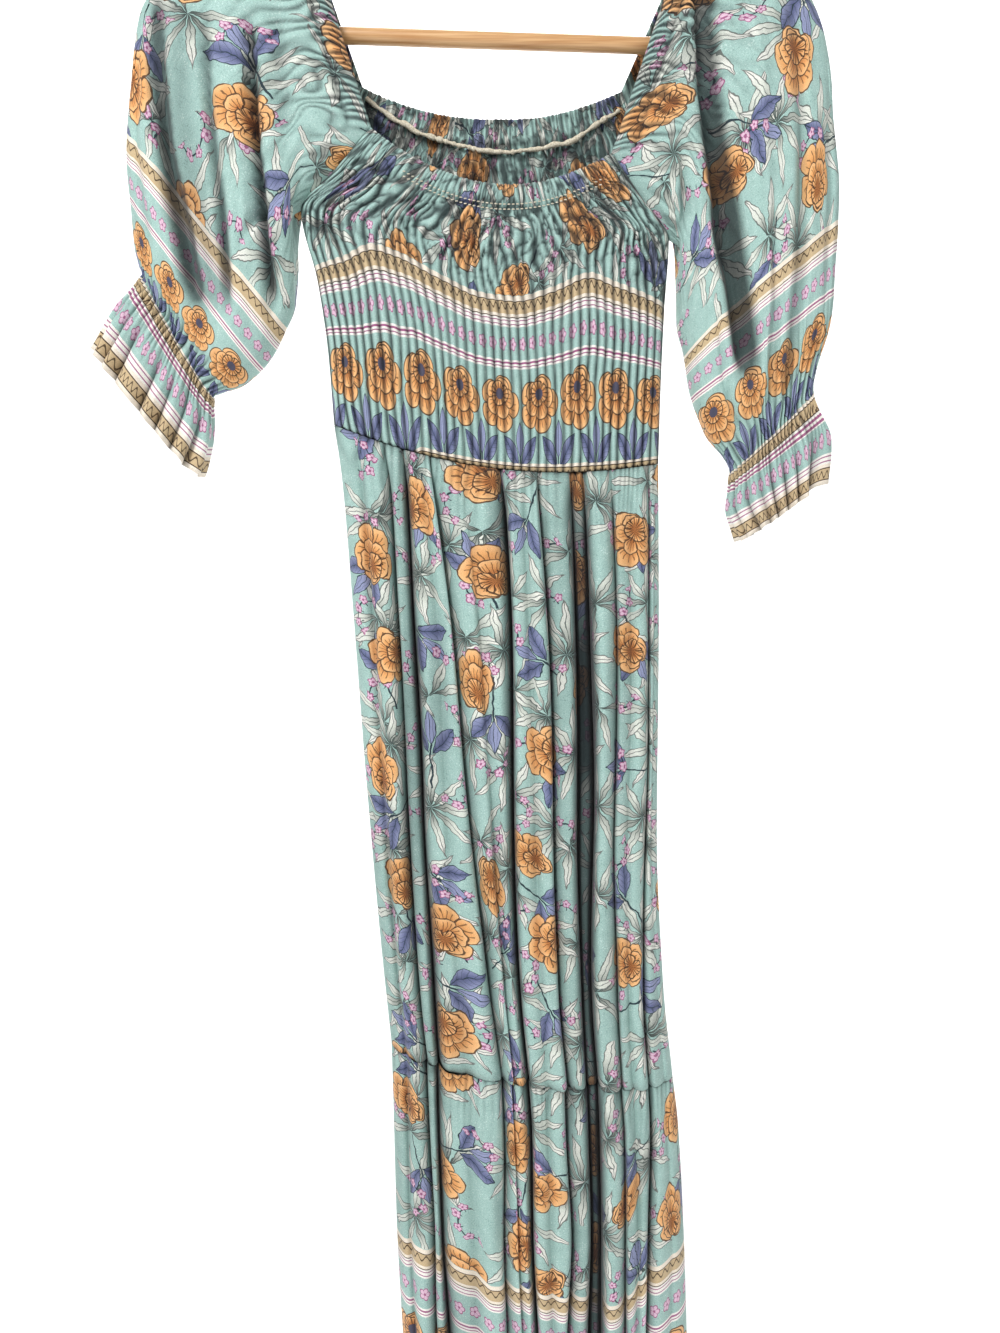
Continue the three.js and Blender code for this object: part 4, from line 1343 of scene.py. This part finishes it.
@dataclass
class Hanger:
    """A one-piece bowed hanger with a trouser bar and a wire hook, tilted as it hangs.

    bar_drop: from the hook's seat to the bar's middle. arm_rise: from there up to the arms' lower edge at
    the middle, which meets the bar's height again at arm_reach. neck_height, tip_height: height of the
    arms in the middle and at the tips. stem_foot: where the hook's stem begins to bend.
    """

    tilt: float = math.radians(1.8)
    bar_drop: float = 206
    bar_radius: float = 6.6
    bar_half: float = 211
    arm_rise: float = 100
    arm_reach: float = 205
    arm_half: float = 234
    neck_height: float = 27
    tip_height: float = 18
    thickness: float = 18
    section_power: float = 3.4
    wire: float = 2
    hook_radius: float = 20
    stem_sunk: float = 22
    stem_foot: float = -62

    def piece(self, name: str, points: Array, material: bpy.types.Material, slot: str,
              node: str) -> bpy.types.Object:
        """One closed piece of the hanger, turned with it about Y: the right end goes down."""
        c, s = math.cos(self.tilt), math.sin(self.tilt)
        x, y, z = np.moveaxis(points, -1, 0)
        points = np.stack([x * c + z * s, y, -x * s + z * c], -1)
        thing = grid_object(name, points, points.mean(axis=1, keepdims=True), True)
        dress_piece(thing, material, slot, node)
        return thing

    def arms(self, material: bpy.types.Material) -> bpy.types.Object:
        """The arms: along x a rounded bar whose lower edge is a parabola and whose height tapers.

        The section is a superellipse, drawn in to a point over the last 9 mm of each end.
        """
        end = self.arm_half + 3
        x = end * np.sin(np.linspace(-1, 1, 181) * np.pi / 2)
        low = -self.bar_drop + self.arm_rise * (1 - (x / self.arm_reach) ** 2)
        high = low + self.neck_height + (self.tip_height - self.neck_height) * np.abs(x) / self.arm_half
        close = np.sqrt(unit((end - np.abs(x)) / 9))
        close = np.clip(close * (2 - close), 0.004, 1)[:, None]
        turn = np.linspace(0, TURN, 40, endpoint=False)
        a, b = (np.sign(wave) * np.abs(wave) ** (2 / self.section_power) for wave in (np.cos(turn), np.sin(turn)))
        z = ((high + low) / 2)[:, None] + ((high - low) / 2)[:, None] * close * b
        y = self.thickness / 2 * close * a
        points = np.stack([np.broadcast_to(x[:, None], z.shape), y, z], 2)
        return self.piece("hanger_arms_wood", points, material, "hanger_wood", "hanger_arms")

    def bar(self, material: bpy.types.Material) -> bpy.types.Object:
        """The dowel, with slightly rounded ends that sit in the arms."""
        inner = self.bar_half - 0.4
        x = np.concatenate([[-self.bar_half], np.linspace(-inner, inner, 60), [self.bar_half]])
        path = np.stack([x, 0 * x, 0 * x - self.bar_drop], 1)
        points = tube_points(path, closing(np.full(len(x), self.bar_radius)), 36)
        return self.piece("hanger_bar_wood", points, material, "hanger_wood", "hanger_bar")

    def hook(self, material: bpy.types.Material) -> bpy.types.Object:
        """The wire: a straight stem, a bend to the side and an arc about the seat, rounded at its tip."""
        centre = np.array([0, self.wire - self.hook_radius])
        foot = np.array([0, self.stem_foot])
        sunk = -self.bar_drop + self.arm_rise + self.neck_height - self.stem_sunk
        angle = np.radians(np.linspace(215, -25, 60))
        curve = centre + self.hook_radius * np.stack([np.cos(angle), np.sin(angle)], 1)
        into = curve[0] + 12 * np.array([-math.sin(angle[0]), math.cos(angle[0])])
        t = np.linspace(0, 1, 24)[1:, None]
        bend = ((1 - t) ** 3 * foot + 3 * t * (1 - t) ** 2 * (foot + np.array([0, 12]))
                + 3 * t * t * (1 - t) * into + t ** 3 * curve[0])
        stem = np.stack([np.zeros(12), np.linspace(sunk, self.stem_foot, 12)], 1)
        line = np.concatenate([stem, bend, curve[1:]])
        path = np.stack([line[:, 0], 0 * line[:, 0], line[:, 1]], 1)
        radius = np.full(len(path), float(self.wire))
        radius[-2] = self.wire * 0.8
        return self.piece("hanger_hook_wire", tube_points(path, closing(radius), 20), material, "hook_steel",
                          "hanger_hook")


# ------------------------------------------------------------------ the studio


@dataclass
class Studio:
    """A pale floor and back wall in one sweep, soft light, and the camera. Places are in metres."""

    eye: tuple[float, float, float] = (0.0, -0.88, -0.636)
    down: float = 6.0
    lens: float = 27.0
    sky: float = 0.33
    aim: tuple[float, float, float] = (0, 0, -0.8)

    def sweep(self) -> None:
        """The floor, curving up into a back wall: a flat, a quarter circle and a flat, 12 m wide."""
        floor, radius, half = -1640, 600, 6000
        turn = np.linspace(0, np.pi / 2, 14)
        y = np.concatenate([[-5000], 3400 + radius * np.sin(turn), [4000]])[:, None]
        z = np.concatenate([[floor], floor + radius * (1 - np.cos(turn)), [3600]])[:, None]
        points = np.stack(np.broadcast_arrays(np.linspace(-half, half, 9), y, z), 2)
        thing = grid_object("floor_sweep", points, np.array([0.0, 6000, -9000]), False)
        thing.data.materials.append(PAPER.make())

    def light(self, name: str, place: tuple, aim: tuple, size: float, power: float) -> None:
        """A square soft light that looks at a point."""
        lamp = bpy.data.lights.new(name, "AREA")
        lamp.size, lamp.energy = size, power
        thing = bpy.data.objects.new(name, lamp)
        thing.location = place
        thing.rotation_euler = (Vector(aim) - Vector(place)).to_track_quat("-Z", "Y").to_euler()
        bpy.context.scene.collection.objects.link(thing)

    def build(self) -> None:
        """Sets the camera, the sky and the lights."""
        scene = bpy.context.scene
        data = bpy.data.cameras.new("camera")
        data.lens, data.sensor_fit, data.sensor_width = self.lens, "AUTO", 36
        data.clip_start = 0.01
        camera = bpy.data.objects.new("camera", data)
        camera.location = self.eye
        camera.rotation_euler = (math.radians(90 - self.down), 0, 0)
        scene.collection.objects.link(camera)
        scene.camera = camera
        world = bpy.data.worlds.new("soft_sky")
        scene.world = world
        world.use_nodes = True
        sky = world.node_tree.nodes["Background"].inputs
        sky[0].default_value, sky[1].default_value = (1, 1, 1, 1), self.sky
        scene.view_settings.view_transform = "Standard"
        self.sweep()
        self.light("key", (-1.1, -1.9, 1.0), self.aim, 0.7, 57)
        self.light("fill", (1.3, -2.2, 0.1), self.aim, 1.2, 12)
        self.light("back", (1.0, 2.3, 1.9), self.aim, 1.2, 14)
        self.light("wall", (0, 2.2, 2.6), (0, 4.2, -0.3), 3.0, 190)


def dress() -> list[Cloth]:
    """The eight cloth pieces, from the bodice down."""
    bodice, upper, lower = (0.44, 0.26), (0.62, 0.56), (0.70, 0.39)
    return [
        Bodice("bodice_front", bodice, Side.FRONT, BODICE_FRONT),
        Bodice("bodice_back", (0.44, 0.31), Side.BACK, BODICE_BACK, seed=140),
        Sleeve("sleeve_left", (0.44, 0.46), True, LEFT_RINGS, LEFT_CREASES, top=(-154, -130.5),
               front_corner=(-106, -283), back_corner=(-118, -233), under=(-168, -341)),
        Sleeve("sleeve_right", (0.44, 0.50), False, RIGHT_RINGS, RIGHT_CREASES, top=(147, -140.5),
               front_corner=(92, -303), back_corner=(104, -237), under=(143, -365), seed=160),
        Skirt("skirt_upper_front", upper, Side.FRONT, UPPER_TIER, FRONT_CREVICES, lower=False, rows=80),
        Skirt("skirt_upper_back", upper, Side.BACK, UPPER_TIER, BACK_CREVICES, lower=False, rows=60, seed=15),
        Skirt("skirt_lower_front", lower, Side.FRONT, LOWER_TIER, FRONT_CREVICES, lower=True, rows=62, seed=25),
        Skirt("skirt_lower_back", lower, Side.BACK, LOWER_TIER, BACK_CREVICES, lower=True, rows=46, seed=35),
    ]


def main() -> None:
    """Builds the studio, the hanger and the dress."""
    logging.basicConfig(level=logging.INFO, format="%(message)s")
    Studio().build()
    wood, steel, thread, print_cloth = BEECH.make(), STEEL.make(), THREAD.make(), PrintedCrepe().make()
    hanger, trims = Hanger(), NeckTrims()
    pieces = [hanger.arms(wood), hanger.bar(wood), hanger.hook(steel)]
    pieces += [piece.build(print_cloth) for piece in dress()]
    pieces += [trims.serging(thread), trims.stitches(thread)]
    for thing in pieces:
        log.info("%s: %d points", thing.name, len(thing.data.vertices))
    bpy.context.view_layer.update()


if __name__ == "__main__":
    main()
